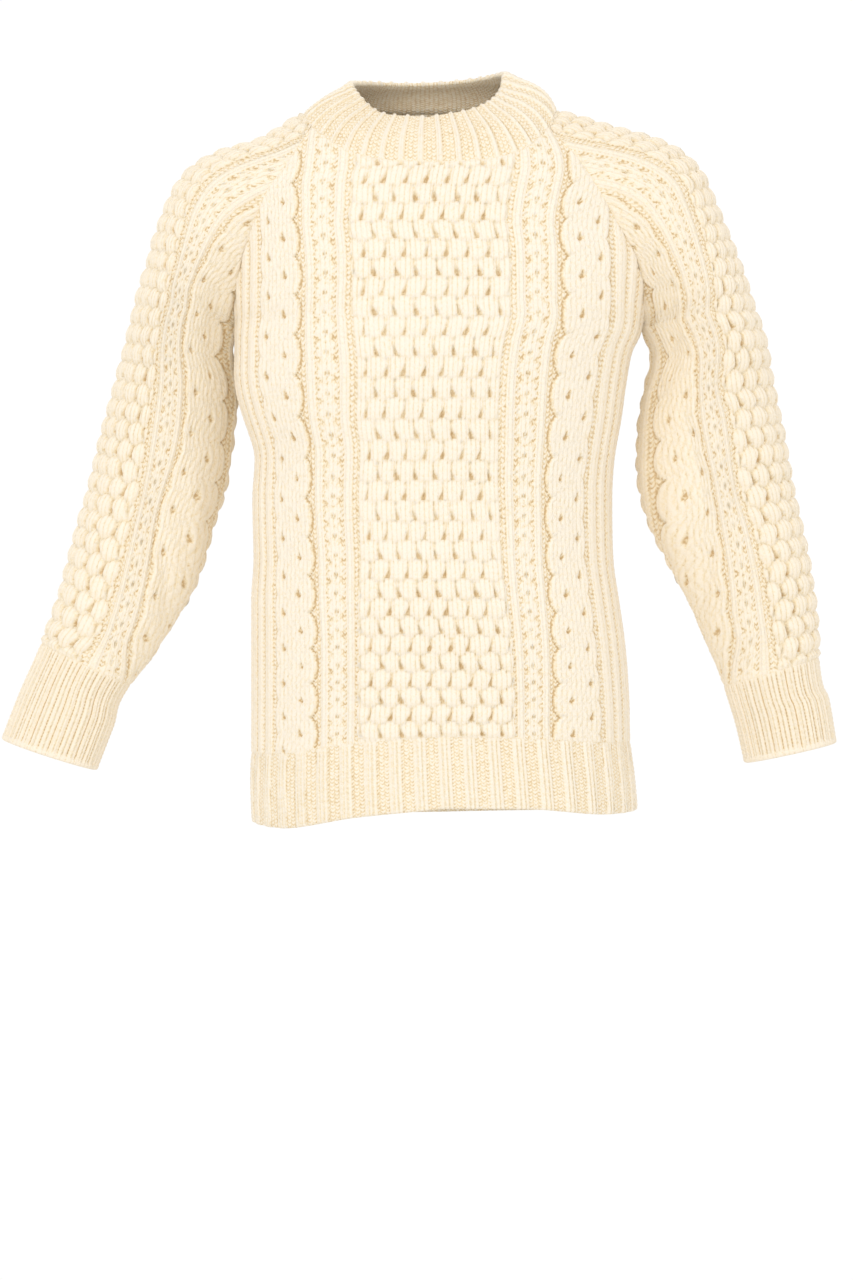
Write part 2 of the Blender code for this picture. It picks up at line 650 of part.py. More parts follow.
def cable_rise(lines, honeycomb):
    """The height of the cables, as a function of the stitch and the cable row that a point is in."""

    def rise(stitch, row):
        even = np.floor(row).astype(int) % 2 == 0
        across = np.abs(stitch)
        swing = np.cos(2 * np.pi * across / PILLOW)
        swing = np.where(even, swing, -swing)
        pillow = PILLOW_LOW + (PILLOW_HIGH - PILLOW_LOW) * (0.5 + 0.5 * swing)
        knots = np.concatenate([[honeycomb], lines["stitch"]])
        heights = [np.concatenate([[PILLOW_LOW], lines[key]]) for key in ("even", "odd")]
        beside = np.where(even, np.interp(across, knots, heights[0]), np.interp(across, knots, heights[1]))
        return np.where(across < honeycomb, pillow, beside)

    return rise


def rib_rise(where):
    """The height of a rib, from where a point is in one rib and its channel, 0 to 1."""
    swing = np.cos(2 * np.pi * where)
    return RIB_LOW + (RIB_HIGH - RIB_LOW) * np.clip(0.5 + 0.9 * swing, 0, 1)


def lattice(stitches, rows, foot):
    """Points at each line and at the middle of each cable row, in flat millimetres."""
    x, row = np.meshgrid(stitches * STITCH, np.asarray(rows) + 0.5)
    return np.stack([x.ravel(), foot + row.ravel() * CABLE_ROW], axis=1)


def grooves(points, heights):
    """Pairs of low points that lie corner to corner between pillows, so that each pillow has four sides."""
    across, up = PILLOW / 2 * STITCH, CABLE_ROW
    tree = KDTree(len(points))
    for i, point in enumerate(points):
        tree.insert((*point, 0), i)
    tree.balance()
    pairs = []
    for i in np.flatnonzero(heights < PILLOW_LOW + 0.1):
        for step in (-across, across):
            _, j, distance = tree.find((points[i][0] + step, points[i][1] + up, 0))
            if distance < 0.01 and heights[j] < PILLOW_LOW + 0.1:
                pairs.append((i, j))
    return pairs


def body_panel(name, facing):
    """The front or the back, from the hem's seam to the neckline."""
    side = "front" if facing < 0 else "back"
    base = worn_front if facing < 0 else BACK_FORM
    corner_z = NECK_CORNER_FRONT_Z if facing < 0 else NECK_CORNER_BACK_Z
    seam = np.linspace(-HALF_BODY, HALF_BODY, HEM_STEPS + 1)
    height = hem_height(seam, facing, "seam")
    own = np.linspace(-HALF_BODY, HALF_BODY, 8 * HEM_STEPS + 1)
    stitch = np.interp(seam, drawn(own, float(height.min())), own) if facing < 0 else seam
    bottom = np.stack([stitch, height], axis=1)
    raglan = through(RAGLAN_Z, "place", side, np.linspace(1, SLEEVE_TOP, RAGLAN_STEPS + 1))
    sides = {}
    for end in (-1, 1):
        z = np.linspace(float(hem_height(np.array(end * HALF_BODY), facing, "seam")), UNDERARM_Z, SIDE_STEPS + 1)
        z = np.concatenate([z[1:], raglan[1:]])
        sides[end] = np.stack([end * panel_stitches(z - 1e-6, side), z], axis=1)
    corner = float(panel_stitches(corner_z, side))
    stitch = np.linspace(corner, -corner, NECK_STEPS + 1)[1:-1]
    top = np.stack([stitch, neck_height(stitch, side)], axis=1)
    outline = np.concatenate([bottom, sides[1], top, sides[-1][::-1]]) * (STITCH, 1)
    foot = float(hem_height(np.array(0.0), facing, "seam"))
    lines = band_lines(PANEL_LINES, PANEL_HONEYCOMB, HALF_BODY)
    points = lattice(lines, range(-2, 40), foot)
    relief = cable_rise(PANEL_LINES, PANEL_HONEYCOMB)
    return Piece(
        name,
        lambda x, z: base(x / STITCH, z),
        outline,
        points,
        lambda x, z: relief(x / STITCH, (z - foot) / CABLE_ROW),
        PANEL_INNER_STEP,
        underarms=[np.array([end * HALF_BODY * STITCH, UNDERARM_Z]) for end in (-1, 1)],
    )


def hem_rib(name, facing):
    """The ribbed hem below the front or the back."""
    base = FRONT_FORM if facing < 0 else BACK_FORM
    count = int(round(2 * HALF_BODY / HEM_RIB))
    quarter = np.linspace(-HALF_BODY, HALF_BODY, 4 * count + 1)
    seam = np.linspace(HALF_BODY, -HALF_BODY, HEM_STEPS + 1)
    lower = np.stack([quarter, hem_height(quarter, facing, "edge")], axis=1)
    upper = np.stack([seam, hem_height(seam, facing, "seam")], axis=1)
    rises = np.array(HEM_ROWS)
    ends = []
    for end in (1, -1):
        low, high = (float(hem_height(np.array(end * HALF_BODY), facing, e)) for e in ("edge", "seam"))
        ends.append(np.stack([end * HALF_BODY + 0 * rises, low + (high - low) * rises], axis=1))
    outline = np.concatenate([lower, ends[0], upper, ends[1][::-1]]) * (STITCH, 1)
    points = []
    for part in HEM_ROWS:
        low, high = hem_height(quarter, facing, "edge"), hem_height(quarter, facing, "seam")
        points.append(np.stack([quarter * STITCH, low * (1 - part) + high * part], axis=1))
    width = 2 * HALF_BODY * STITCH / count
    return Piece(
        name,
        lambda x, z: base(x / STITCH, z),
        outline,
        np.concatenate(points),
        lambda x, z: rib_rise(x / width - 0.125),
        BAND_INNER_STEP,
        lambda x, z: z < hem_height(x / STITCH, facing, "edge") + 1,
    )


def sleeve_outline(sleeve, places, top_steps, bottom_steps):
    """The flat outline of a sleeve or cuff between the first and the last of its places."""
    ends = {end: sleeve.edge_stitch(places, end) for end in (-1, 1)}
    along = sleeve.along(places)
    sides = {end: np.stack([ends[end], along], axis=1) for end in (-1, 1)}
    runs = []
    for row, steps in ((0, bottom_steps), (-1, top_steps)):
        stitch = np.linspace(ends[-1][row], ends[1][row], steps + 1)
        runs.append(np.stack([stitch, along[row] + 0 * stitch], axis=1))
    bottom, top = runs
    return np.concatenate([bottom, sides[1][1:-1], top[::-1], sides[-1][-2:0:-1]])


def sleeve_piece(name, sleeve):
    """A sleeve from the cuff's seam to the neckline."""
    seam = np.linspace(0, 1, SLEEVE_SEAM_STEPS + 1)
    raglan = np.linspace(1, SLEEVE_TOP, RAGLAN_STEPS + 1)
    places = np.concatenate([seam[:-1], [(seam[-2] + 1) / 2], raglan])
    outline = sleeve_outline(sleeve, places, NECK_SIDE_STEPS, 20)
    lines = band_lines(SLEEVE_LINES, SLEEVE_HONEYCOMB, 50)
    relief = cable_rise(SLEEVE_LINES, SLEEVE_HONEYCOMB)
    points = lattice(lines, range(40), 0) / (STITCH, 1)
    corners = [(float(sleeve.edge_stitch(1.0, end)), float(sleeve.along(1.0))) for end in (-1, 1)]
    return sleeve_side(name, sleeve, outline, points, relief, underarms=corners)


def sleeve_side(name, sleeve, outline, points, relief, open_edge=None, underarms=()):
    """A piece on a sleeve's form. On the right sleeve its stitches run the other way."""

    def form(stitch, along):
        return worn_sleeve(sleeve, stitch, along)

    if sleeve.side < 0:
        form = mirrored(form)
        outline = (outline * (-1, 1))[::-1]
        points = points * (-1, 1)
        underarms = [(-x, y) for x, y in underarms]
    return Piece(
        name,
        lambda x, y: form(x / STITCH, y),
        outline * (STITCH, 1),
        points * (STITCH, 1),
        lambda x, y: relief(x / STITCH, y / CABLE_ROW),
        SLEEVE_INNER_STEP,
        open_edge,
        [np.array([x * STITCH, y]) for x, y in underarms],
    )


def cuff_piece(name, sleeve):
    """A ribbed cuff below the sleeve."""
    places = np.array([CUFF_END, *(CUFF_END * (1 - part) for part in CUFF_ROWS), 0.0])
    ribs = 2 * CUFF_RIBS
    outline = sleeve_outline(sleeve, places, 20, ribs)
    edge = float(sleeve.along(CUFF_END))
    points = []
    for part in CUFF_ROWS:
        place = np.array(CUFF_END * (1 - part))
        stitch = np.linspace(sleeve.edge_stitch(place, -1), sleeve.edge_stitch(place, 1), ribs + 1)
        points.append(np.stack([stitch, float(sleeve.along(place)) + 0 * stitch], axis=1))

    def relief(stitch, row):
        place = np.interp(row * CABLE_ROW, sleeve.lengths["along"], sleeve.lengths["place"])
        count = through(sleeve.rows, "place", "stitches", place)
        shift = through(sleeve.rows, "place", "shift", place) * sleeve.side
        part = (stitch / count + shift + 1) / 2
        return rib_rise(part * CUFF_RIBS + 0.5)

    return sleeve_side(
        name, sleeve, outline, np.concatenate(points), relief, lambda x, y: y < edge + 1
    )


def neckband_piece(name):
    """The ribbed neckband, joined to itself at the back right raglan."""
    height = 50.0
    count = 3 * NECK_RIBS
    whole = NECK_AROUND[-1]
    around = np.linspace(0, whole, count + 1)
    seam = NECK_AROUND[::NECK_FINE]
    lower = np.stack([seam, 0 * seam], axis=1)
    upper = np.stack([around[::-1], height + 0 * around], axis=1)
    rises = height * np.array(NECK_ROWS)
    joint = [np.stack([0 * rises + end, rises], axis=1) for end in (whole, 0)]
    outline = np.concatenate([lower, joint[0], upper, joint[1][::-1]])
    points = np.concatenate([np.stack([around, rise + 0 * around], axis=1) for rise in rises])
    width = whole / NECK_RIBS
    return Piece(
        name,
        lambda x, y: NECK_FORM(x, y / height),
        outline,
        points,
        lambda x, y: rib_rise(x / width + 0.5),
        BAND_INNER_STEP,
        lambda x, y: y > height - 1,
    )


# ---------------------------------------------------------------- the solids


def filled(outline, points, pairs=()):
    """Triangles that fill an outline, through its own points and the given ones, with edges at the pairs."""
    corners = [Vector(p) for p in np.concatenate([outline, points])]
    loop = list(range(len(outline)))
    edges = [(len(outline) + int(i), len(outline) + int(j)) for i, j in pairs]
    result = delaunay_2d_cdt(corners, edges, [loop], 1, 1e-7)
    order = [sources[0] for sources in result[3]]
    return [[order[i] for i in face] for face in result[2]]


def inner_points(outline, step):
    low, high = outline.min(axis=0), outline.max(axis=0)
    counts = np.maximum(((high - low) / step).round().astype(int), 1)
    x, y = np.meshgrid(*[np.linspace(a, b, n + 1) for a, b, n in zip(low, high, counts)])
    return inside_points(outline, np.stack([x.ravel(), y.ravel()], axis=1), INNER_MARGIN)


def shared_normals(pieces):
    """For each piece the mean outer and inner normals along its outline, shared with what it is sewn to.

    In a deep fold the inner faces part, so there the inner normals are shared only on one side of the fold.
    """
    lines = [piece.form(*piece.flat_outline.T) for piece in pieces]
    normals = np.concatenate([piece.normals(piece.flat_outline) for piece in pieces])
    tree = KDTree(len(normals))
    for i, point in enumerate(np.concatenate(lines)):
        tree.insert(point, i)
    tree.balance()
    shared = []
    start = 0
    for line in lines:
        outer, inner = [], []
        for i, point in enumerate(line):
            meeting = normals[[k for _, k, _ in tree.find_range(point, SEAM_REACH)]]
            one_side = meeting[meeting @ normals[start + i] > 0]
            outer.append(meeting.mean(axis=0))
            inner.append(one_side.mean(axis=0))
        shared.append((np.array(outer), np.array(inner)))
        start += len(line)
    return shared


def knit_solid(piece, outer_edge, inner_edge):
    """The closed mesh of a piece: a raised outer face, a plain inner face and the rim between them."""
    outline = piece.flat_outline
    points = with_underarm_rows(piece, inside_points(outline, piece.points, MARGIN))
    flat = np.concatenate([outline, points])
    nearest, _ = distance_to(outline, flat)
    height = piece.rise(*flat.T)
    if piece.open_edge is None:
        seam_side = np.ones(len(outline), bool)
    else:
        seam_side = ~piece.open_edge(*outline.T)
    blend = np.clip(nearest / SEAM_TAPER, 0, 1)
    free = np.concatenate([~seam_side, np.zeros(len(points), bool)])
    blend = np.where(free, 1, blend)
    height = SEAM_RISE + (height - SEAM_RISE) * blend
    normals = np.concatenate([outer_edge, piece.normals(points)])
    outer = piece.form(*flat.T) + normals * height[:, None]
    plain = np.concatenate([outline, with_underarm_rows(piece, inner_points(outline, piece.inner_step))])
    inner_normals = np.concatenate([inner_edge, piece.normals(plain[len(outline) :])])
    inner = piece.form(*plain.T) - inner_normals * WALL
    start = len(outer)
    faces = filled(outline, points, grooves(points, piece.rise(*points.T)))
    faces += [[start + i for i in reversed(face)] for face in filled(outline, plain[len(outline) :])]
    count = len(outline)
    for i in range(count):
        j = (i + 1) % count
        faces.append([j, i, start + i])
        faces.append([j, start + i, start + j])
    mesh = bpy.data.meshes.new(piece.name)
    mesh.from_pydata((np.concatenate([outer, inner]) * MILLIMETRE).tolist(), [], faces)
    mesh.validate()
    return mesh


def wool(name):
    material = bpy.data.materials.new(name + "_wool")
    material.use_nodes = True
    shader = material.node_tree.nodes["Principled BSDF"]
    shader.inputs["Base Color"].default_value = WOOL
    shader.inputs["Roughness"].default_value = WOOL_ROUGHNESS
    shader.inputs["Metallic"].default_value = 0.0
    return material


def main():
    for old in list(bpy.data.objects):
        bpy.data.objects.remove(old, do_unlink=True)
    collection = bpy.data.collections.new(COLLECTION)
    bpy.context.scene.collection.children.link(collection)
    pieces = [
        body_panel("front_panel", -1),
        body_panel("back_panel", 1),
        sleeve_piece("left_sleeve", LEFT),
        sleeve_piece("right_sleeve", RIGHT),
        neckband_piece("neckband"),
        hem_rib("front_hem_rib", -1),
        hem_rib("back_hem_rib", 1),
        cuff_piece("left_cuff", LEFT),
        cuff_piece("right_cuff", RIGHT),
    ]
    for piece in pieces:
        piece.flat_outline = moved_in(piece.outline, seam_gaps(piece))
    for piece, edges in zip(pieces, shared_normals(pieces)):
        mesh = knit_solid(piece, *edges)
        mesh.shade_smooth()
        mesh.set_sharp_from_angle(angle=SHARP)
        mesh.materials.append(wool(piece.name))
        collection.objects.link(bpy.data.objects.new(piece.name, mesh))


main()
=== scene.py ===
"""The look of a cable knit sweater with raglan sleeves, in the hollow shape that it has when it is worn.

Each knitted piece is one thin shell of cloth: an outline in stitches and millimetres is filled with a fine
lattice, the lattice is laid over the piece's form, and the cables, ribs and pillows are raised from it.

The frame: +Z up, the front faces -Y, the wearer's left is +X. The origin is the middle of the neck's foot.
The forms are in millimetres until a mesh is made. The settings are in metres.
"""

import math
from collections import namedtuple
from functools import lru_cache

import bpy
import numpy as np
from bpy.props import FloatProperty, FloatVectorProperty, IntProperty, PointerProperty
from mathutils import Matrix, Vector
from mathutils.geometry import delaunay_2d_cdt
from mathutils.kdtree import KDTree


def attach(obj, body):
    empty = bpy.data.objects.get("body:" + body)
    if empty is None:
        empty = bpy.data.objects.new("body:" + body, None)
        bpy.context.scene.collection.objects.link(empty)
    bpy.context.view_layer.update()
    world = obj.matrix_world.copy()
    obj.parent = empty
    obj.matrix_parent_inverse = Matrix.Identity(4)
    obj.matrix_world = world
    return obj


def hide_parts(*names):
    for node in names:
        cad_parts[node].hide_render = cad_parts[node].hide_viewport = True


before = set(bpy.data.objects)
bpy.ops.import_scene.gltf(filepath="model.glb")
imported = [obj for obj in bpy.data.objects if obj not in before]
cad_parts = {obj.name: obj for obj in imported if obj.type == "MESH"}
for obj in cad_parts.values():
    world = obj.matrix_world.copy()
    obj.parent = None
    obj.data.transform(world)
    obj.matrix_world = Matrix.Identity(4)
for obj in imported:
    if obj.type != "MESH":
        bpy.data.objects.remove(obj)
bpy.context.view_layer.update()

bl_info = {
    "name": "Cable Knit Sweater",
    "version": (1, 0, 0),
    "blender": (4, 5, 0),
    "location": "3D View > Sidebar > Sweater",
    "description": "Knits the pieces of a cable knit sweater, and sets a plain studio stage",
    "category": "Object",
}

MILLIMETRE = 0.001

# The knitting
STITCH = 4.1  # width of one stitch
ROW = 4.2  # height of one raised row of the ribs
RIB_ROW = 3.0  # height of one row of the fine stitches in the wool of the ribs
NECK_ROW = 3.4  # and in the wool of the neckband, whose ribs are drawn long
CABLE_ROW = 16.7  # height of one row of crossed stitches on a sleeve
KNIT_ROWS = 4  # rows of knitting in a cable row
PILLOW = 4.0  # stitches in one pillow of the honeycomb
SLEEVE_HONEYCOMB = 14.0  # stitches from the top line of a sleeve to the honeycomb's edge
CABLE_LEAD = 0.3  # how far the wave cable is ahead of the honeycomb, in cable rows
SWINGS = (0.5, 1.5)  # where in each two cable rows the wave cable's two ropes swing out
CABLE_STITCHES = 8.0  # stitches across the wave cable as it is seen
SLEEVE_LEAD = 0.4  # how far up in a cable row a sleeve begins

# Stitches from the middle of the front or back. A sleeve's bands follow on beside its own honeycomb.
FRONT_HONEYCOMB = 15.0  # to the honeycomb's edge
LADDER_BAR = 15.9  # to the strand in the ladder beside the honeycomb
LADDER_END = 16.6  # to the ladder's far side
LACE_NEAR, LACE_MIDDLE, LACE_FAR = 18.4, 21.0, 23.6  # to the lace's sides and its middle
CABLE_LEFT, CABLE_MIDDLE, CABLE_RIGHT = 26.5, 31.5, 36.6  # to the wave cable's sides and its middle
CABLE_EYES = (CABLE_LEFT + 3.6, CABLE_RIGHT - 2.4)  # to the eyes beside its two ropes
CABLE_SWELLS = (CABLE_LEFT + 3.2, CABLE_RIGHT - 2.6)  # to the two swells that rise and sink by turns
UNDERARM_PILLOWS = 40.5  # to the pillows along a sleeve's underarm seam
LACE_EYES = (  # stitch, place in a cable row, half width, half height in cable rows, and lean of each eye
    (20.65, 0.24, 0.2, 0.13, -0.6),
    (21.35, 0.24, 0.2, 0.13, 0.6),
    (21.0, 0.08, 0.3, 0.05, 0.0),
    (21.0, 0.66, 0.5, 0.05, 0.0),
    (19.2, 0.95, 0.5, 0.2, 0.6),
    (22.8, 0.92, 0.5, 0.18, 2.5),
    (22.9, 0.45, 0.25, 0.09, 0.0),
    (19.3, 0.45, 0.2, 0.07, 0.0),
)
COLUMNS = (  # the middles and half widths of the plain columns, in stitches
    (17.5, 1.0),
    (24.5, 1.0),
    (38.8, 1.35),
    (42.3, 1.35),
    (45.8, 1.35),
    (49.3, 1.35),
)

# A rib and its channel: the rib's stitches and share of the width, how dark the painted shade in the channel
# and on the lines at the rib's left and right is, how much the channel's purl stitches show, and the
# lattice's columns.
Rib = namedtuple("Rib", "wales share dark left right purl columns")
HEM_KNIT = Rib(3, 0.5, 0.17, 0.3, 0.3, 0.95, 18)
CUFF_KNIT = Rib(2, 0.84, 0.9, 0.2, 0.2, 1.0, 8)
NECK_KNIT = Rib(1, 0.27, 0.2, 0.1, 0.6, 0.95, 16)
HEM_OFFSET = 0.125  # how far the middle of the hem lies beside a rib's middle, in ribs
HEM_LEAN = 0.25  # how far the ribs at its sides lean, in ribs
CAST_OFF = (4.0, 7.0)  # above a cuff's edge, where its plain rim ends and where the ribs are whole
TURNED_OVER = (3.0, 11.0)  # below a turned edge, where the knitting is still double and where it is single

# The cloth
WALL = 3.0  # from the plain inner face to the foot of the stitches
INNER_PAINTED_SHADE = 0.25  # how much painted shade the inner face has, as in a hollow
SEAM_RISE = 1.5  # how far a seam stands above the foot of the stitches
SEAM_SHADOW = 1.8  # width of the dark line beside a seam
SEAM_REACH = 2.2  # ends of pieces nearer than this are one place of a seam
HALF_GAP = 0.02  # each piece stops this far from the line of its seam
LATTICE_MARGIN = 0.55  # the lattice keeps this far from the outline
# The lattice's rows in each cable row: closest where holes are, and on a sleeve where pillows hang over.
ROW_PLACES = (0.0, 0.06, 0.13, 0.21, 0.31, 0.43, 0.57, 0.73, 0.88)
LOOSE_ROW_PLACES = (0.0, 0.08, 0.18, 0.3, 0.45, 0.6, 0.7, 0.78, 0.86, 0.93)
BODY_ROWS = 44  # the front and back have fewer cable rows than this
FINE_BANDS = 24  # beyond this many stitches beside the honeycomb, the lattice's columns are coarsest
EDGE_ROWS = (0.7, 1.4, 2.8, 4.2)  # rows of the lattice beside a free edge
BAND_ROW = 1.4  # height of the other rows of a rib's lattice
NECK_SLOPE = 0.85  # the distance to the sloping neckline, for each millimetre up to it
FAR = 1000.0  # a distance from an edge that a place has nothing to do with

# The cut
UNDERARM_Z = -175.0
NECK_CORNER_FRONT_Z = -4.0
NECK_CORNER_BACK_Z = 14.0
HALF_BODY = 52.0  # stitches from the middle of the front to a side seam, and more than half a sleeve's
SLEEVE_FOOT = 55  # about how many stitches there are along a sleeve's foot
SLEEVE_NECK = 26  # and along its top
ROUND = 0.03  # how much fuller than an ellipse the body is between front and side
SLEEVE_TOP = 2.0  # place on the sleeve of the neckline, where 1 is the underarm and 0 the cuff's seam
CUFF_END = -1.0  # place on the sleeve of the cuff's edge
NECK_STEPS = 22  # steps of the neckline along the front or the back
NECK_SIDE_STEPS = 12  # and along a sleeve
NECK_FINE = 3  # points of the neckline for each of those steps
NECK_RIBS = 40
NECK_DEEP = 50.0  # flat height of the neckband
HEM_RIB = 4.95  # stitches in one rib and its channel
HEM_DEEP = 61.0
CUFF_RIBS = 34
CUFF_RIB = 6.7  # flat width of one rib and its channel


def table(columns, *rows):
    """A table with named columns, as a dictionary of them."""
    return dict(zip(columns.split(), np.array(rows, float).T))


# The front and the back at each height. left and right are where the piece ends on the wearer's right
# (-X) and left (+X): the side seam below the underarm, and the raglan seam above it. turn is the angle
# from the middle of the piece to its edges, 90 where it meets the other half side on.
FRONT = table(
    "z left right edge_y middle_y turn",
    (-615, -154, 180, 0, -118, 90),
    (-600, -155, 180, 0, -118, 90),
    (-572, -156, 178, 0, -117, 90),
    (-539, -155, 174, 0, -115, 90),
    (-502, -155, 173, 0, -113, 90),
    (-449, -155, 169, 0, -110, 90),
    (-414, -155, 164, 0, -107, 90),
    (-378, -153, 159, 0, -104, 90),
    (-326, -154, 158, 0, -103, 90),
    (-290, -152, 160, 0, -106, 90),
    (-255, -161, 166, 0, -111, 90),
    (-220, -167, 171, 0, -115, 90),
    (-195, -168, 176, 0, -117, 90),
    (-175, -170, 185, 0, -117, 88),
    (-160, -170, 186, -15, -117, 84),
    (-140, -168, 185, -31, -115, 78),
    (-116, -162, 178, -45, -111, 70),
    (-88, -152, 161, -57, -104, 60),
    (-60, -139, 145, -63, -95, 51),
    (-32, -119, 126, -61, -85, 46),
    (-4, -103, 103, -44, -72, 45),
    (8, -97, 96, -36, -66, 45),
)
BACK = table(
    "z left right edge_y middle_y turn",
    (-615, -154, 180, 0, 112, 90),
    (-600, -155, 180, 0, 112, 90),
    (-572, -156, 178, 0, 111, 90),
    (-539, -155, 174, 0, 109, 90),
    (-502, -155, 173, 0, 107, 90),
    (-449, -155, 169, 0, 102, 90),
    (-414, -155, 164, 0, 97, 90),
    (-378, -153, 159, 0, 93, 90),
    (-326, -154, 158, 0, 92, 90),
    (-290, -152, 160, 0, 94, 90),
    (-255, -161, 166, 0, 99, 90),
    (-220, -167, 171, 0, 104, 90),
    (-195, -168, 176, 0, 108, 90),
    (-175, -170, 185, 0, 110, 88),
    (-160, -169, 185, 17, 112, 84),
    (-140, -165, 181, 36, 113, 78),
    (-116, -157, 172, 52, 113, 70),
    (-88, -147, 157, 66, 111, 60),
    (-60, -133, 140, 75, 107, 52),
    (-32, -118, 123, 77, 100, 48),
    (-8, -107, 109, 70, 91, 47),
    (14, -96, 96, 56, 78, 46),
    (28, -88, 88, 47, 68, 46),
)
# How many stitches there are from the middle of the front or back to a raglan edge.
RAGLAN_STITCHES = table(
    "z front back", (-175, 52, 52), (-140, 47, 47), (-88, 38.5, 40), (-32, 28.5, 31), (14, 23.5, 24)
)
# The hem's seam and its lower edge, round from the middle of the front (0) to a side (90) and the middle
# of the back (180). It hangs lower on the wearer's right.
HEM = table(
    "turn seam_right edge_right seam_left edge_left",
    (0, -531, -592, -531, -592),
    (30, -537, -600, -533, -593),
    (60, -547, -611, -537, -599),
    (90, -548, -608, -539, -598),
    (120, -547, -607, -541, -601),
    (180, -545, -605, -545, -605),
)
# The front neckline from its middle (0) to the raglan corner (1), and the back one.
NECKLINE = table(
    "part front back", (0, -40, 24), (0.5, -35, 23.5), (0.72, -26, 21), (0.88, -13, 17), (1, -4, 14)
)

# The sleeves. place runs from the cuff's edge (-1), the cuff's seam (0) and the underarm (1) to the
# neckline (2). top is the line over the shoulder and down the outer arm, seam the underarm seam, deep the
# half depth, turn the angle from the top line to the seam, shift turns the cables to the front, and point
# says how sharply the front and back meet at the seam.
LEFT_SLEEVE = table(
    "place top_x top_z top_y seam_x seam_z seam_y deep turn stitches shift point",
    (-1.0, 353, -539, -22, 277, -556, -22, 33, 180, 27.0, -0.02, 0),
    (-0.5, 347, -502, -20, 269, -521, -20, 34, 180, 28.0, -0.02, 0),
    (0.0, 338, -464, -18, 259, -488, -18, 37, 180, 30.0, -0.02, 0),
    (0.15, 335, -424, -15, 244, -450, -14, 42, 180, 33.0, -0.05, 0.05),
    (0.3, 330, -384, -10, 228, -414, -8, 47, 180, 36.0, -0.07, 0.1),
    (0.45, 323, -347, -3, 210, -378, -2, 52, 180, 39.5, -0.09, 0.1),
    (0.6, 316, -312, 3, 193, -342, 3, 56, 180, 43.0, -0.11, 0.1),
    (0.75, 308, -264, 7, 184, -291, 6, 58, 180, 45.0, -0.12, 0.15),
    (0.88, 298, -216, 9, 188, -238, 5, 60, 180, 45.5, -0.13, 0.3),
    (0.95, 293, -186, 8, 195, -202, 2, 61, 180, 45.2, -0.12, 0.5),
    (1.0, 284, -160, 8, 185, -175, 0, 63, 180, 45.0, -0.12, 0.6),
    (1.15, 274, -130, 6, 0, 0, 0, 67, 146, 41.5, -0.10, 0.7),
    (1.3, 262, -98, 5, 0, 0, 0, 70, 116, 37.5, -0.08, 0.6),
    (1.45, 248, -64, 4, 0, 0, 0, 71, 94, 33.0, -0.06, 0.4),
    (1.6, 233, -34, 2, 0, 0, 0, 70, 80, 28.0, -0.04, 0.2),
    (1.75, 203, -13, 1, 0, 0, 0, 66, 74, 22.5, -0.02, 0.1),
    (1.88, 160, -1, 0, 0, 0, 0, 58, 74, 17.5, 0.0, 0),
    (2.0, 110, 14, 0, 0, 0, 0, 47, 75, 12.6, 0.0, 0),
)
RIGHT_SLEEVE = table(
    "place top_x top_z top_y seam_x seam_z seam_y deep turn stitches shift point",
    (-1.0, -372, -536, -26, -293, -562, -26, 33, 180, 27.0, -0.02, 0),
    (-0.5, -356, -494, -22, -279, -525, -22, 34, 180, 28.0, -0.02, 0),
    (0.0, -338, -452, -17, -264, -487, -17, 37, 180, 30.0, -0.02, 0),
    (0.15, -327, -424, -10, -248, -466, -9, 42, 180, 33.0, -0.05, 0.05),
    (0.3, -318, -390, 0, -227, -434, 1, 47, 180, 36.0, -0.07, 0.1),
    (0.45, -310, -355, 9, -208, -397, 11, 52, 180, 39.0, -0.09, 0.1),
    (0.6, -299, -315, 17, -194, -350, 20, 55, 180, 41.5, -0.11, 0.1),
    (0.75, -288, -267, 23, -180, -300, 26, 57, 180, 42.5, -0.12, 0.2),
    (0.88, -273, -213, 22, -174, -240, 20, 59, 180, 43.0, -0.13, 0.4),
    (0.95, -264, -180, 17, -177, -202, 6, 60, 180, 42.8, -0.12, 0.5),
    (1.0, -256, -150, 12, -170, -175, 0, 62, 180, 42.5, -0.12, 0.6),
    (1.15, -247, -122, 9, 0, 0, 0, 66, 146, 39.5, -0.10, 0.7),
    (1.3, -239, -93, 6, 0, 0, 0, 69, 116, 36.0, -0.08, 0.6),
    (1.45, -227, -62, 4, 0, 0, 0, 70, 94, 32.0, -0.06, 0.4),
    (1.6, -211, -38, 2, 0, 0, 0, 69, 80, 27.0, -0.04, 0.2),
    (1.75, -184, -22, 1, 0, 0, 0, 65, 74, 22.0, -0.02, 0.1),
    (1.88, -150, -12, 0, 0, 0, 0, 58, 74, 17.5, 0.0, 0),
    (2.0, -110, 12, 0, 0, 0, 0, 47, 75, 12.6, 0.0, 0),
)
# The height of the front and back raglan seams at each place of a sleeve above the underarm.
RAGLAN_Z = table(
    "place front back",
    (1, -175, -175),
    (1.15, -150, -148),
    (1.3, -124, -118),
    (1.45, -98, -89),
    (1.6, -71, -60),
    (1.75, -46, -31),
    (1.88, -25, -8),
    (2, -4, 14),
)
# The soft folds of the sleeves: where each is, its half width in stitches, its half length, how many
# stitches it moves over in a millimetre, and how far out it goes.
SLEEVE_FOLDS = table(
    "stitch along across length tilt out",
    (-31, 120, 3.0, 60, 0.10, 3.5),
    (-25, 92, 2.6, 55, 0.14, -3.0),
    (27, 105, 3.0, 62, -0.10, 3.2),
    (-33, 300, 3.4, 60, 0.02, -3.5),
    (30, 215, 3.2, 70, -0.06, 3.0),
)
FOLD_FADE = 0.2  # the folds end over this part of the way to the underarm seam

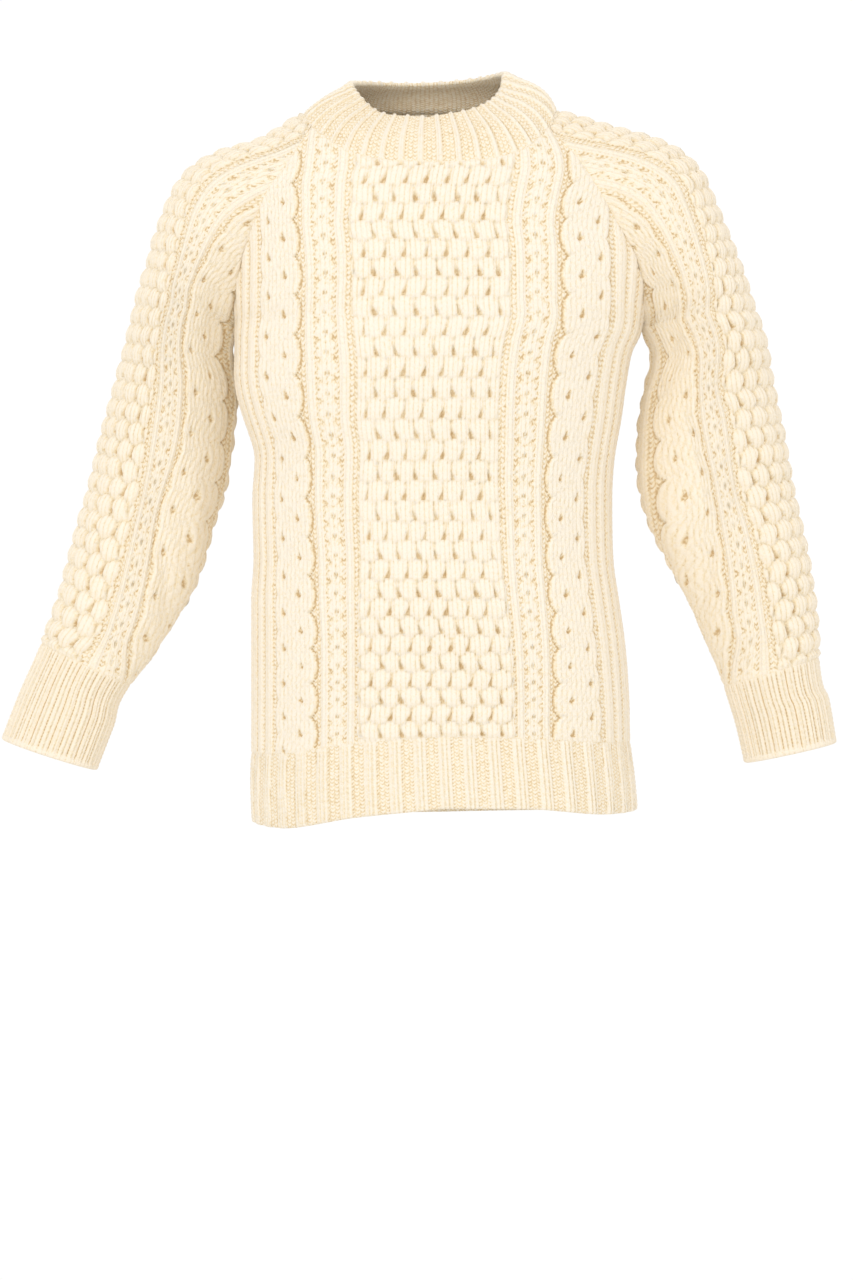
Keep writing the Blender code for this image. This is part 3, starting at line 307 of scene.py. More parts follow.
# The neckband's upper edge, round from the middle of the front (0) to the middle of the back (180), and
# how far the band stands out between its seam and its edge.
NECK_EDGE = table(
    "turn right left full_right full_left",
    (0, 1.5, 1.5, 5, 5),
    (40, 8.5, 12.5, 5, 5),
    (70, 30, 30, 4, 7),
    (90, 40, 48, 3, 9),
    (120, 46, 52, 4, 7),
    (180, 50, 50, 5, 5),
)
# The oval of the upper edge: half its width, its middle, and how far it goes to the front and to the back.
NECK_EDGE_HALF = 65.0
NECK_EDGE_MIDDLE_X = -2.0
NECK_EDGE_FRONT = 64.0
NECK_EDGE_BACK = 58.0

# How far the wearing has drawn the front's bands aside at each height, in stitches to the wearer's left (+X):
# the cable, the honeycomb's two edges, the other cable and its far side. DRAWN_STITCHES says where they were.
DRAWN_STITCHES = (-26.5, -15.0, 15.0, 26.5, 36.6)
FRONT_DRAWN = table(
    "z right_cable right_edge left_edge left_cable left_side",
    (-518, 1.3, -1.2, -0.7, -3.8, -2.0),
    (-458, 1.3, -1.0, -0.5, -3.0, -2.2),
    (-398, 0.8, -0.7, -0.4, -2.2, -1.9),
    (-338, 0.0, -1.0, -0.5, -1.9, -1.9),
    (-278, -0.4, -1.0, -1.5, -2.4, -1.9),
    (-218, 0.3, 0.2, -1.6, -2.7, -2.0),
    (-158, -0.4, -1.8, -1.5, -2.9, -1.8),
    (-98, -1.0, -1.9, -1.4, -2.3, -1.4),
    (-72, -0.6, -1.0, -0.7, -1.2, -0.8),
    (-45, 0, 0, 0, 0, 0),
)
DRAWN_FADE = 8.0  # and they fade out over this many stitches beside the panel's edges

# How far the bands of the sleeves' front halves are drawn away from the top line at each length above
# the cuff's seam, in stitches: the honeycomb's edge, and the edge, the two eyes and the far side of the
# wave cable. SLEEVE_STITCHES says where they were.
SLEEVE_STITCHES = (14.0, 25.5, 29.2, 33.3, 35.6)
LEFT_SLEEVE_DRAWN = table(
    "along edge cable near_eye far_eye side",
    (60, 0.0, -4.0, -4.5, -4.5, -4.0),
    (126, -0.1, -5.8, -6.4, -6.3, -5.5),
    (162, 0.4, -6.4, -8.2, -7.0, -6.0),
    (217, 0.6, -4.4, -5.8, -4.1, -3.5),
    (253, 2.8, -2.6, -2.1, -1.1, -1.0),
    (285, 4.4, 1.6, 1.2, 0.8, 0.3),
    (308, 4.8, 2.9, 2.3, 1.5, 0.7),
    (363, 2.2, 1.6, 1.1, 0.3, -0.3),
    (430, 0, 0, 0, 0, 0),
)
RIGHT_SLEEVE_DRAWN = table(
    "along edge cable near_eye far_eye side",
    (55, 1.5, -3.6, -3.6, -3.4, -3.2),
    (148, 0.6, -5.7, -5.7, -5.5, -4.2),
    (212, 0.0, -3.5, -4.2, -3.0, -3.0),
    (254, 0.2, -3.0, -3.0, -3.0, -2.6),
    (330, 1.5, -2.0, -2.0, -2.0, -2.0),
    (430, 0, 0, 0, 0, 0),
)
SLEEVE_FADE = 6.0  # and they fade out over this many stitches beside the seam and over this many
CUFF_FADE = 40.0  # millimetres above the cuff

# The height of the cable rows on the front and back at each height: the knitting is drawn out over the
# chest and sinks together above the hem.
ROW_HEIGHTS = table(
    "z height",
    (-640, 14.6),
    (-517, 14.6),
    (-466, 14.9),
    (-415, 15.8),
    (-364, 16.7),
    (-313, 17.3),
    (-262, 17.6),
    (-211, 17.3),
    (-160, 16.8),
    (-109, 16.2),
    (60, 16.0),
)
FOOT_OF_A_ROW = -208.0  # a cable row starts at this height
ROWS_BELOW = 22.0  # and this many rows are below it
# How dark the hollows are beside the honeycomb, at each stitch from the middle of the front.
BAND_SHADE = table(
    "beside shade",
    (15, 0.75),
    (16.4, 0.6),
    (16.6, 0.3),
    (18.3, 0.3),
    (18.6, 0.9),
    (23.4, 0.9),
    (23.8, 0.3),
    (25.4, 0.4),
    (26.5, 0.6),
    (36.5, 0.6),
    (37.5, 0.45),
    (52, 0.45),
)

# The line between the wearer's right sleeve and the body below the armpit, and how far each moves towards it.
ARM_AND_SIDE = table(
    "z x reach",
    (-262, -162.0, 0),
    (-247, -166.0, 1.6),
    (-229, -170.0, 3.0),
    (-211, -171.5, 2.8),
    (-185, -171.0, 1.2),
    (-165, -171.0, 0),
)
LEAN_TURN = 4.0  # within this distance of the line, a place moves less
LEAN_FADE = (15, 60)  # and it moves less from the first of these distances to the second


# ---------------------------------------------------------------- smooth lines through tables


def through(rows, key, value, at):
    """A smooth line through the rows of a table, read at the given places. It doesn't pass its own rows."""
    knots, heights = rows[key], rows[value]
    steps = np.diff(heights) / np.diff(knots)
    slopes = np.gradient(heights, knots)
    steepest = 3 * np.minimum(np.abs(steps[:-1]), np.abs(steps[1:]))
    inner = np.sign(steps[1:]) * np.minimum(np.abs(slopes[1:-1]), steepest)
    slopes[1:-1] = np.where(steps[:-1] * steps[1:] > 0, inner, 0)
    at = np.clip(at, knots[0], knots[-1])
    i = np.clip(np.searchsorted(knots, at, side="right") - 1, 0, len(knots) - 2)
    gap = knots[i + 1] - knots[i]
    t = (at - knots[i]) / gap
    start = heights[i] * (1 + 2 * t) + slopes[i] * gap * t
    end = heights[i + 1] * (3 - 2 * t) + slopes[i + 1] * gap * (t - 1)
    return start * (1 - t) ** 2 + end * t**2


def even_angle(part, turn, wide, deep):
    """The angle on an ellipse that lies the given part of the way along its arc from 0 to turn."""
    mean, swing = (wide + deep) / 2, (wide - deep) / 4
    target = part * (mean * turn + swing * np.sin(2 * turn))
    angle = part * turn
    for _ in range(4):
        error = mean * angle + swing * np.sin(2 * angle) - target
        angle = angle - error / (mean + 2 * swing * np.cos(2 * angle))
    return angle


# ---------------------------------------------------------------- the forms


def panel_stitches(z, name):
    """How many stitches there are from the middle of a panel to its edge at a height."""
    raglan = through(RAGLAN_STITCHES, "z", name, z)
    return np.where(z < UNDERARM_Z, HALF_BODY, raglan)


def panel_form(rows, name, facing):
    """The surface of the front (facing -1) or back (1): stitches from the middle, and height, to points."""

    def form(stitch, z):
        part = stitch / panel_stitches(z, name)
        turn = np.radians(through(rows, "z", "turn", z))
        left, right = through(rows, "z", "left", z), through(rows, "z", "right", z)
        edge_y, middle_y = through(rows, "z", "edge_y", z), through(rows, "z", "middle_y", z)
        half = (right - left) / 2 / np.sin(turn)
        deep = (edge_y - middle_y) / (1 - np.cos(turn))
        angle = even_angle(np.abs(part), turn, half, np.abs(deep))
        full = 1 + ROUND * np.sin(2 * np.clip(angle * (np.pi / 2) / turn, 0, np.pi)) ** 2
        x = (left + right) / 2 - facing * np.sign(part) * half * np.sin(angle) * full
        y = edge_y - deep * (np.cos(angle) - np.cos(turn)) * full
        return np.stack([x, y, z + 0 * x], axis=-1)

    return form


FRONT_FORM = panel_form(FRONT, "front", -1)
BACK_FORM = panel_form(BACK, "back", 1)


def drawn(stitch, z):
    """Where a stitch of the front has been drawn to, in stitches of the form from its middle."""
    knots = (-HALF_BODY, *DRAWN_STITCHES, HALF_BODY)
    shift = 0
    for i, key in enumerate(list(FRONT_DRAWN)[1:], 1):
        here = [float(i == j) for j in range(len(knots))]
        shift = shift + np.interp(stitch, knots, here) * through(FRONT_DRAWN, "z", key, z)
    room = np.clip((panel_stitches(z, "front") - np.abs(stitch)) / DRAWN_FADE, 0, 1)
    return stitch + shift * room * room * (3 - 2 * room)


def worn_front(stitch, z):
    """The surface of the front at a stitch of its own."""
    return FRONT_FORM(drawn(stitch, z), z)


def worn_sleeve(sleeve, stitch, along):
    """The surface of a sleeve at a stitch of its own, whose front half the wearing has drawn aside."""
    rows = LEFT_SLEEVE_DRAWN if sleeve.side > 0 else RIGHT_SLEEVE_DRAWN
    knots = (0.0, *SLEEVE_STITCHES, HALF_BODY)
    shift = 0
    for i, key in enumerate(list(rows)[1:], 1):
        here = [float(i == j) for j in range(len(knots))]
        shift = shift + np.interp(-stitch, knots, here) * through(rows, "along", key, along)
    place = np.interp(along, sleeve.lengths["along"], sleeve.lengths["place"])
    for room in ((stitch - sleeve.edge_stitch(place, -1)) / SLEEVE_FADE, along / CUFF_FADE):
        room = np.clip(room, 0, 1)
        shift = shift * room * room * (3 - 2 * room)
    return sleeve.form(stitch - shift, along)


def raglan_point(rows, side, z):
    """A point on a raglan seam: side is 1 on the wearer's left and -1 on the right."""
    x = through(rows, "z", "right" if side > 0 else "left", z)
    return x, through(rows, "z", "edge_y", z)


def sleeve_lengths(rows):
    """The length from the cuff's seam along the top line, as a table of place and length."""
    place = np.linspace(CUFF_END, SLEEVE_TOP, 241)
    x, z = through(rows, "place", "top_x", place), through(rows, "place", "top_z", place)
    along = np.concatenate([[0], np.cumsum(np.hypot(np.diff(x), np.diff(z)))])
    return {"place": place, "along": along - np.interp(0, place, along)}


def sleeve_form(rows, side):
    """The surface of a sleeve: stitches from the top line, and millimetres from the cuff, to points."""
    lengths = sleeve_lengths(rows)

    def edges(place):
        """The seam at the front and at the back of the sleeve."""
        below = [through(rows, "place", k, np.minimum(place, 1)) for k in ("seam_x", "seam_y", "seam_z")]
        found = []
        for panel, name in ((FRONT, "front"), (BACK, "back")):
            z = through(RAGLAN_Z, "place", name, place)
            x, y = raglan_point(panel, side, z)
            found.append([np.where(place > 1, a, b) for a, b in zip((x, y, z), below)])
        return found

    def form(stitch, along):
        place = np.interp(along, lengths["along"], lengths["place"])
        part = stitch / through(rows, "place", "stitches", place) + through(rows, "place", "shift", place)
        turn = np.radians(through(rows, "place", "turn", place))
        top = [through(rows, "place", k, place) for k in ("top_x", "top_y", "top_z")]
        deep = through(rows, "place", "deep", place)
        front, back = edges(place)
        edge = [np.where(part < 0, a, b) for a, b in zip(front, back)]
        reach = [(t - e) / (1 - np.cos(turn)) for t, e in zip(top, edge)]
        angle = even_angle(np.abs(part), turn, np.hypot(reach[0], reach[2]), deep)
        share = np.clip(angle / turn, 0, None) ** 2
        point = through(rows, "place", "point", place)
        inward = (1 - point) * (1 - np.cos(angle)) / (1 - np.cos(turn)) + point * share
        x = top[0] - (top[0] - edge[0]) * inward
        z = top[2] - (top[2] - edge[2]) * inward
        back_side = np.sign(part)
        y_edge = (edge[1] - top[1]) * back_side
        y = top[1] + back_side * (deep * np.sin(angle) + (y_edge - deep * np.sin(turn)) * share)
        fade = np.clip((1 - np.abs(part)) / FOLD_FADE, 0, 1)
        fold = fade * sleeve_fold(stitch, along) / np.maximum(np.hypot(reach[0], reach[2]), 30)
        x = x + fold * reach[0] * np.cos(angle)
        z = z + fold * reach[2] * np.cos(angle)
        y = y + fold * back_side * deep * np.sin(angle)
        return np.stack([x, y, z], axis=-1)

    return form


def sleeve_fold(stitch, along):
    """How far the soft folds push a sleeve out."""
    rise = 0 * stitch
    for at, height, across, length, tilt, out in zip(*SLEEVE_FOLDS.values()):
        off = (stitch - at - tilt * (along - height)) / across
        rise = rise + out * np.exp(-(off**2) - ((along - height) / length) ** 2)
    return rise


class Sleeve:
    """One sleeve: its table, its form, and places on it in millimetres from the cuff's seam."""

    def __init__(self, rows, side):
        self.rows, self.side = rows, side
        self.form = sleeve_form(rows, side)
        self.lengths = sleeve_lengths(rows)

    def along(self, place):
        """Millimetres from the cuff's seam to a place of the sleeve."""
        return np.interp(place, self.lengths["place"], self.lengths["along"])

    def edge_stitch(self, place, end):
        """The stitch at the front (end -1) or back (end 1) edge."""
        shift = through(self.rows, "place", "shift", place)
        return (end - shift) * through(self.rows, "place", "stitches", place)


LEFT = Sleeve(LEFT_SLEEVE, 1)
RIGHT = Sleeve(RIGHT_SLEEVE, -1)


def hem_height(stitch, facing, edge):
    """The height of the hem's seam or lower edge at a stitch of the front (-1) or back (1)."""
    part = 90 * np.abs(stitch) / HALF_BODY
    turn = part if facing < 0 else 180 - part
    left, right = (through(HEM, "turn", edge + side, turn) for side in ("_left", "_right"))
    return np.where(stitch * facing < 0, left, right)


def neck_height(stitch, name):
    """The height of the front or back neckline at a stitch."""
    corner = panel_stitches(NECK_CORNER_FRONT_Z if name == "front" else NECK_CORNER_BACK_Z, name)
    return through(NECKLINE, "part", name, np.abs(stitch) / corner)


def neck_ring():
    """The neckline's points in order, from the back right corner round the front and the back."""
    runs = []
    front_corner = float(panel_stitches(NECK_CORNER_FRONT_Z, "front"))
    back_corner = float(panel_stitches(NECK_CORNER_BACK_Z, "back"))
    for sleeve in (RIGHT, LEFT):
        ends = [sleeve.edge_stitch(SLEEVE_TOP, end) for end in (-1, 1)]
        stitch = np.linspace(*ends, NECK_FINE * NECK_SIDE_STEPS + 1)
        points = sleeve.form(stitch, sleeve.along(SLEEVE_TOP) + 0 * stitch)
        runs.append(points if sleeve.side > 0 else points[::-1])
    for corner, form, name in ((front_corner, FRONT_FORM, "front"), (back_corner, BACK_FORM, "back")):
        stitch = np.linspace(-corner, corner, NECK_FINE * NECK_STEPS + 1)
        runs.append(form(stitch, neck_height(stitch, name)))
    right, left, front, back = runs
    return np.concatenate([right[:-1], front[:-1], left[:-1], back])


def neckband_form():
    """The band's surface: millimetres round its seam, and part of its height, to points."""
    ring = neck_ring()
    around = np.concatenate([[0], np.cumsum(np.linalg.norm(np.diff(ring, axis=0), axis=1))])

    def form(millimetres, part):
        foot = np.stack([np.interp(millimetres, around, ring[:, i]) for i in range(3)], axis=-1)
        turn = np.arctan2(foot[..., 0] - NECK_EDGE_MIDDLE_X, -foot[..., 1])
        deep = np.where(np.cos(turn) > 0, NECK_EDGE_FRONT, NECK_EDGE_BACK)
        degrees = np.degrees(np.abs(turn))
        height, full = [
            np.where(
                turn > 0,
                through(NECK_EDGE, "turn", key + "left", degrees),
                through(NECK_EDGE, "turn", key + "right", degrees),
            )
            for key in ("", "full_")
        ]
        x = NECK_EDGE_MIDDLE_X + NECK_EDGE_HALF * np.sin(turn)
        edge = np.stack([x, -deep * np.cos(turn), height], axis=-1)
        out = np.stack([np.sin(turn), -np.cos(turn), 0.5 + 0 * turn], axis=-1)
        part = np.asarray(part)[..., None]
        return foot * (1 - part) + edge * part + full[..., None] * np.sin(np.pi * part) * out

    return form, around


NECK_FORM, NECK_AROUND = neckband_form()


def row_count():
    """The cable rows from the hem up, as a table of height and row."""
    z = np.arange(-640.0, 61.0)
    rows = np.concatenate([[0], np.cumsum(1 / through(ROW_HEIGHTS, "z", "height", (z[1:] + z[:-1]) / 2))])
    return {"z": z, "row": rows - np.interp(FOOT_OF_A_ROW, z, rows) + ROWS_BELOW}


ROWS = row_count()


def row_at_height(z):
    """How many cable rows of the front or back there are up to a height."""
    return np.interp(z, ROWS["z"], ROWS["row"])


def height_of_row(row):
    """The height where a cable row of the front or back begins."""
    return np.interp(row, ROWS["row"], ROWS["z"])


# ---------------------------------------------------------------- the stitches


def smooth(value, low, high):
    """0 below low and 1 above high, with a soft change between them."""
    t = np.clip((value - low) / (high - low), 0, 1)
    return t * t * (3 - 2 * t)


def mound(value, middle, half):
    """1 at the middle, falling to almost nothing two half widths away."""
    return np.exp(-(((value - middle) / half) ** 2))


def round_top(value, middle, half, power=2.0):
    """A rounded ridge: 1 at its middle and 0 from its half width on."""
    return np.sqrt(np.clip(1 - np.abs((value - middle) / half) ** power, 0, 1))


def uneven(first, second=0.0):
    """A number from 0 to 1 for a stitch, the same on each run."""
    swing = np.sin(first * 12.9898 + second * 78.233) * 43758.5453
    return swing - np.floor(swing)


def by_turns(number):
    """1 for even numbers and -1 for odd ones."""
    return np.where(number % 2 == 0, 1.0, -1.0)


def groove(stitch, half=0.14):
    """1 in the lines between two stitches and 0 on them."""
    part = stitch - np.floor(stitch)
    return mound(part, 0.0, half) + mound(part, 1.0, half)


def plies(stitch, row):
    """The slanted plies of plain knitting, from -1 to 1, for a row counted in rows of knitting."""
    part = stitch - np.floor(stitch)
    return np.cos(2 * np.pi * row - 2 * np.pi * np.abs(part - 0.5))


def honeycomb(stitch, row, sizes, half, loose):
    """Pillows of four stitches, each row half a pillow along from the last, with holes that lean by turns.

    It reaches half stitches from the middle, and the pillows that its edges cut are low. loose is 0 where the
    knitting is stretched flat and 1 where its pillows bulge and hang over those below.
    """
    # The row of pillows that a place is in. Each row hangs a little over the one below.
    above = np.round(row)
    hang = (0.02 + 0.13 * loose) * (1 + np.cos(2 * np.pi * (stitch + by_turns(above)) / PILLOW))
    hang = hang + 0.03 * np.cos(2 * np.pi * stitch) + 0.03 * np.sin(stitch * 1.31 + 2.0 * above)
    over = row + hang - above
    number = np.where(over >= 0, above, above - 1)
    up = row - number
    # The pillow, how far off its middle the place is in stitches, and the crease beside it.
    lean = by_turns(number)
    place = (stitch + 0.14 * np.sin(stitch * 0.83 + number * 2.1) + lean) / PILLOW
    pillow = np.round(place)
    off = (place - pillow) * PILLOW
    crease = pillow + np.where(off > 0, 0.5, -0.5)
    chance = uneven(crease, number)
    # The leaning hole at the crease's foot, the line above it, and the line between two rows of pillows.
    slant = lean * sizes.lean * (0.3 - np.clip(up, 0, 0.55)) + 0.3 * (uneven(crease, number + 3) - 0.5)
    apart = np.abs(off - (crease - pillow) * PILLOW - slant)
    drop = smooth(up, -0.05, 0.07) * (1 - smooth(up, 0.12 + 0.08 * chance, 0.55))
    drop = drop * (0.25 + 0.75 * smooth(half - np.abs(stitch), 0.8, 2.4))
    wide = 0.10 + sizes.hole * (0.75 + 0.4 * chance) * drop
    hole = 1 - smooth(apart, 0.45 * wide, 1.3 * wide)
    line = mound(apart, 0.0, 0.20 + 0.1 * loose) * smooth(up, 0.15, 0.4)
    between = mound(over, -0.01, 0.045 + 0.035 * loose)
    # The height of the rounded pillow with its stitches, cut by the hole and the lines.
    wale = groove(off)
    body = 0.72 - 0.25 * loose + (0.28 + 0.25 * loose) * round_top(off, 0.0, 2.0, 2 + 2 * loose)
    along = 1 - (0.22 + 0.25 * loose) * (2 * up - 0.8) ** 2 - 0.1 * up
    rise = (sizes.pillow + 1.4 * loose) * (0.94 + 0.12 * uneven(pillow, number + 7)) * body * along
    texture = sizes.ply * plies(off, KNIT_ROWS * row) * (1 - wale) - (0.7 + 0.5 * loose) * sizes.wale * wale
    cut = 0.95 * hole * drop**0.5 + (0.36 + 0.3 * loose) * line + (0.22 + 0.2 * loose) * between
    height = (rise + texture) * (1 - np.clip(cut, 0, 0.97))
    # Painted shade in the hollows: the holes, dots between the rows, the creases and the lines between
    # stitches.
    shade_dots = between * (0.2 + 0.8 * groove(off, 0.22)) * (0.3 + 1.0 * uneven(np.round(off), number + pillow))
    shade_dots = np.maximum(shade_dots, (0.35 + 0.5 * uneven(pillow, number + 5)) * loose * between)
    hollow = np.maximum(smooth(hole * drop, 0.15, 0.8) * (0.58 + 0.22 * chance + 0.2 * loose), 0.6 * shade_dots)
    hollow = np.maximum(hollow, (0.42 + 0.22 * loose) * line)
    hollow = np.maximum(hollow, sizes.line_shade * (1 + 0.4 * loose) * wale)
    # Pillows cut by the honeycomb's edges are lower and get painted shade.
    low = np.where(np.abs(PILLOW * pillow - lean) > half + 0.5, 0.45 * (1 - np.clip(2 * loose, 0, 1)), 0)
    return (1 - low) * height, np.maximum(hollow, 0.6 * low)


def column(beside, row, middle, half, sizes):
    """Plain knitting that stands up as a smooth rib, in single stitches."""
    ridge = round_top(beside, middle, half, 2.6)
    stitch = beside - middle
    line = groove(stitch)
    height = ridge * (sizes.rib - sizes.wale * line + sizes.ply * plies(stitch, KNIT_ROWS * row))
    return height, line * ridge


def purl_bumps(stitch, row):
    """The small heads of purl stitches, a row of them to a row of knitting."""
    up = 2 * np.pi * KNIT_ROWS * row
    return 0.5 + 0.5 * np.cos(up + np.pi * np.round(stitch)) * np.cos(2 * np.pi * stitch)


def stitch_chance(stitch, row):
    """A number from 0 to 1 for each stitch of each row of knitting."""
    return uneven(np.round(stitch), np.round(KNIT_ROWS * row))


def lace(beside, row, sizes):
    """The narrow band of crossed stitches between two columns, with small eyes in each cable row."""
    number = np.floor(row)
    eyes = 0 * beside * row
    for place, at, wide, tall, slope in LACE_EYES:
        for turn in (-1, 0, 1):
            over = row - number - at - turn + 0.06 * (uneven(number + turn, place + 1) - 0.5)
            chance = 0.65 + 0.6 * uneven(number + turn, place)
            eye = chance * mound(beside, place + slope * over, wide) * mound(over, 0.0, tall)
            eyes = np.maximum(eyes, eye)
    eyes = np.clip(eyes, 0, 1)
    bumps = purl_bumps(beside, row)
    crossing = 0.5 + 0.5 * np.cos(np.pi * (beside - LACE_MIDDLE)) * np.cos(4 * np.pi * (row - 0.45))
    heads = bumps * smooth(np.abs(beside - LACE_MIDDLE), 0.9, 1.3)
    height = sizes.lace * (0.7 + 0.3 * crossing - 0.25 * heads) * (1 - 0.8 * eyes)
    # Painted shade in the gaps between the purl heads and in the eyes.
    shade_specks = 0.8 * smooth(0.45 - bumps, 0, 0.4) * stitch_chance(2 * beside, row)
    return height, np.maximum(0.65 * eyes, 0.75 * shade_specks)


def from_swing(place, swing):
    """How many cable rows a place is above the nearest one where a rope swings out, from -1 to 1."""
    return (place - swing + 1.0) % 2.0 - 1.0


def wave_cable(beside, row, sizes, loose):
    """A flat wide cable: two ropes that swing out in turn, with plain knitting and an eye between them.

    It gives its height, the lines between its stitches, its eyes, and how far inside its sides a place is.
    """
    place = row + CABLE_LEAD
    out = [np.sqrt(np.abs(np.cos(np.pi * (place - swing) / 2))) for swing in SWINGS]
    left = CABLE_LEFT + sizes.swing * (1 - out[0])
    right = CABLE_RIGHT - 0.6 * sizes.swing * (1 - out[1])
    near = np.minimum(beside - left, right - beside)
    body = np.sqrt(np.clip(1 - (1 - np.clip(near / 0.6, 0, 1)) ** 2, 0, 1))
    rope = mound(near, 0.9, 0.8)
    stitch = (beside - left) / (right - left) * CABLE_STITCHES
    bend = (0.2 - 0.02 * loose) * np.sin(np.pi * place) + 0.06 * loose * np.sin(2.3 * row)
    stitch = stitch + bend * np.sin(np.pi * np.clip(stitch / CABLE_STITCHES, 0, 1))
    line = groove(stitch, 0.13 + 0.05 * loose)
    swell = 0.25 * np.cos(np.pi * (place - SWINGS[0]))
    ripple = swell * mound(beside, CABLE_SWELLS[0], 2.0) - swell * mound(beside, CABLE_SWELLS[1], 2.0)
    height = body * (sizes.cable + ripple + 0.6 * rope + sizes.ply * plies(stitch, KNIT_ROWS * row))
    height = height - body * sizes.wale * (1 + 0.5 * loose) * line
    hole = 0 * height
    for swing, middle in zip(SWINGS, CABLE_EYES):
        up = from_swing(place, swing)
        chance = uneven(np.round((place - up) * 0.5), middle)
        wide = 0.12 + (0.36 + 0.2 * chance) * mound(up, -0.06, 0.15)
        apart = np.abs(beside - middle - 0.7 * up - 0.3 * (chance - 0.5))
        eye = (1 - smooth(apart, 0.4 * wide, 1.3 * wide)) * smooth(up, -0.28, -0.14)
        hole = np.maximum(hole, eye * (1 - smooth(up, 0.05, 0.55)))
    inside = near > 0
    height = np.where(inside, height * (1 - 0.85 * hole), 0)
    line = np.where(inside, line * (0.7 + 0.35 * loose), 0)
    return height, line, hole * inside, near


def body_looseness(row):
    """How loose the front and back are in a cable row: least where they are stretched over the chest."""
    return 0.12 + 0.5 * (1 - smooth(row, 8, 13)) + 0.25 * smooth(row, 23, 27)


def rungs(row, phase=0.0):
    """1 on each row of knitting and 0 between two of them."""
    return 0.5 + 0.5 * np.cos(2 * np.pi * KNIT_ROWS * row + phase)


def column_bands(beside, row, sizes):
    """The lace and the plain columns on their purl ground: their height, painted shade in the hollows, lines
    and gutters.
    """
    ladder = 0.3 + 0.8 * rungs(row, np.sin(row * 3.1)) + 0.3 * mound(beside, LADDER_BAR, 0.5)
    height = np.where(beside < LADDER_END, ladder, 0.2 + 0.6 * purl_bumps(beside, row))
    crossed = (beside > LACE_NEAR) & (beside < LACE_FAR)
    knots, eyes = lace(beside, row, sizes)
    height = np.where(crossed, knots, height)
    lines, gutter = 0 * height, 0 * height
    for place, wide in COLUMNS:
        rib, line = column(beside, row, place, wide, sizes)
        lines = np.where(rib > height, line, lines)
        height = np.maximum(height, rib)
        apart = np.abs(beside - place) - wide - 0.12
        gutter = np.maximum(gutter, mound(apart, 0.0, 0.2) * rungs(row, place))
    # Painted shade on the low purl ground and in the gutters beside the columns.
    share = np.interp(beside, BAND_SHADE["beside"], BAND_SHADE["shade"])
    hollow = (1 - smooth(height, 0.05, 1.0)) * share * (0.5 + 0.9 * stitch_chance(beside, row))
    hollow = np.maximum(np.where(crossed, eyes, hollow), 0.75 * gutter)
    return height * (1 - 0.35 * gutter), hollow, lines


def bands(beside, row, sizes, loose, sleeve):
    """All that lies beside the honeycomb: the height and the painted shade of the hollows, with the wave
    cable over its ground.
    """
    height, hollow, lines = column_bands(beside, row, sizes)
    turned = CABLE_LEFT + CABLE_RIGHT - beside if sleeve else beside
    cable, line, hole, near = wave_cable(turned, row, sizes, 1.0 if sleeve else 0.35)
    # Painted shade: a dot at each cusp of the cable's near side, a dark line along its rim, and its eyes.
    cusp = np.abs(from_swing(row + CABLE_LEAD, SWINGS[1]) + 0.2)
    hollow = np.maximum(hollow, 0.75 * mound(turned, CABLE_LEFT + 0.7, 0.6) * mound(cusp, 0.0, 0.13))
    rim = mound(near, -0.12, 0.3)
    height = np.where(near > 0, cable, height * (1 - 0.8 * rim))
    hollow = np.where(near > 0, 0.0, hollow * (1 - 0.6 * mound(near, -0.6, 0.5)))
    lines = np.where(near > 0, line, lines)
    dark = np.where(turned < CABLE_MIDDLE, 0.85, 0.25 + 0.6 * rungs(row))
    hollow = np.maximum(hollow, np.where(near < 0.3, dark * rim, 0))
    hollow = np.maximum(hollow, 0.85 * smooth(hole, 0.3, 0.9))
    return height, np.maximum(hollow, sizes.line_shade * (1 + 0.9 * loose) * lines)


def cable_knit(stitch, row, sizes, sleeve):
    """The height of the cables, the painted shade in the hollows between them, and where the stitches are
    purl.

    The bands follow on beside the honeycomb. On a sleeve the cable is turned round, and there are pillows
    along the underarm seam too.
    """
    half = SLEEVE_HONEYCOMB if sleeve else FRONT_HONEYCOMB
    loose = 1.0 + 0 * row if sleeve else body_looseness(row)
    # The honeycomb's height, and its painted shade in deep.
    middle, deep = honeycomb(stitch, row, sizes, half, loose)
    beside = np.abs(stitch) - half + FRONT_HONEYCOMB
    height, hollow = bands(beside, row, sizes, loose, sleeve)
    bulge = 0.0 if sleeve else 0.9 * np.clip(2 * loose - 0.24, 0, 1)
    reach = half + bulge - 0.5 * loose * np.cos(np.pi * row) ** 2
    inside = np.abs(stitch) < reach
    edge = round_top(np.clip(reach - np.abs(stitch), 0, 0.8), 0.8, 0.8)
    # Painted shade along the honeycomb's scalloped outline.
    outline = mound(np.abs(stitch) - reach, 0.12, 0.22)
    hollow = np.maximum(hollow, (0.2 + 0.5 * loose) * outline)
    under = sleeve & (beside > UNDERARM_PILLOWS)
    height = np.where(inside, middle * edge, np.where(under, 0.85 * middle, height))
    hollow = np.where(inside | under, deep, hollow)
    plain = inside | under | (height > 1.3)
    return height - sizes.sunk * smooth(hollow, 0.6, 0.9), hollow, np.where(plain, 0.0, 1.0)


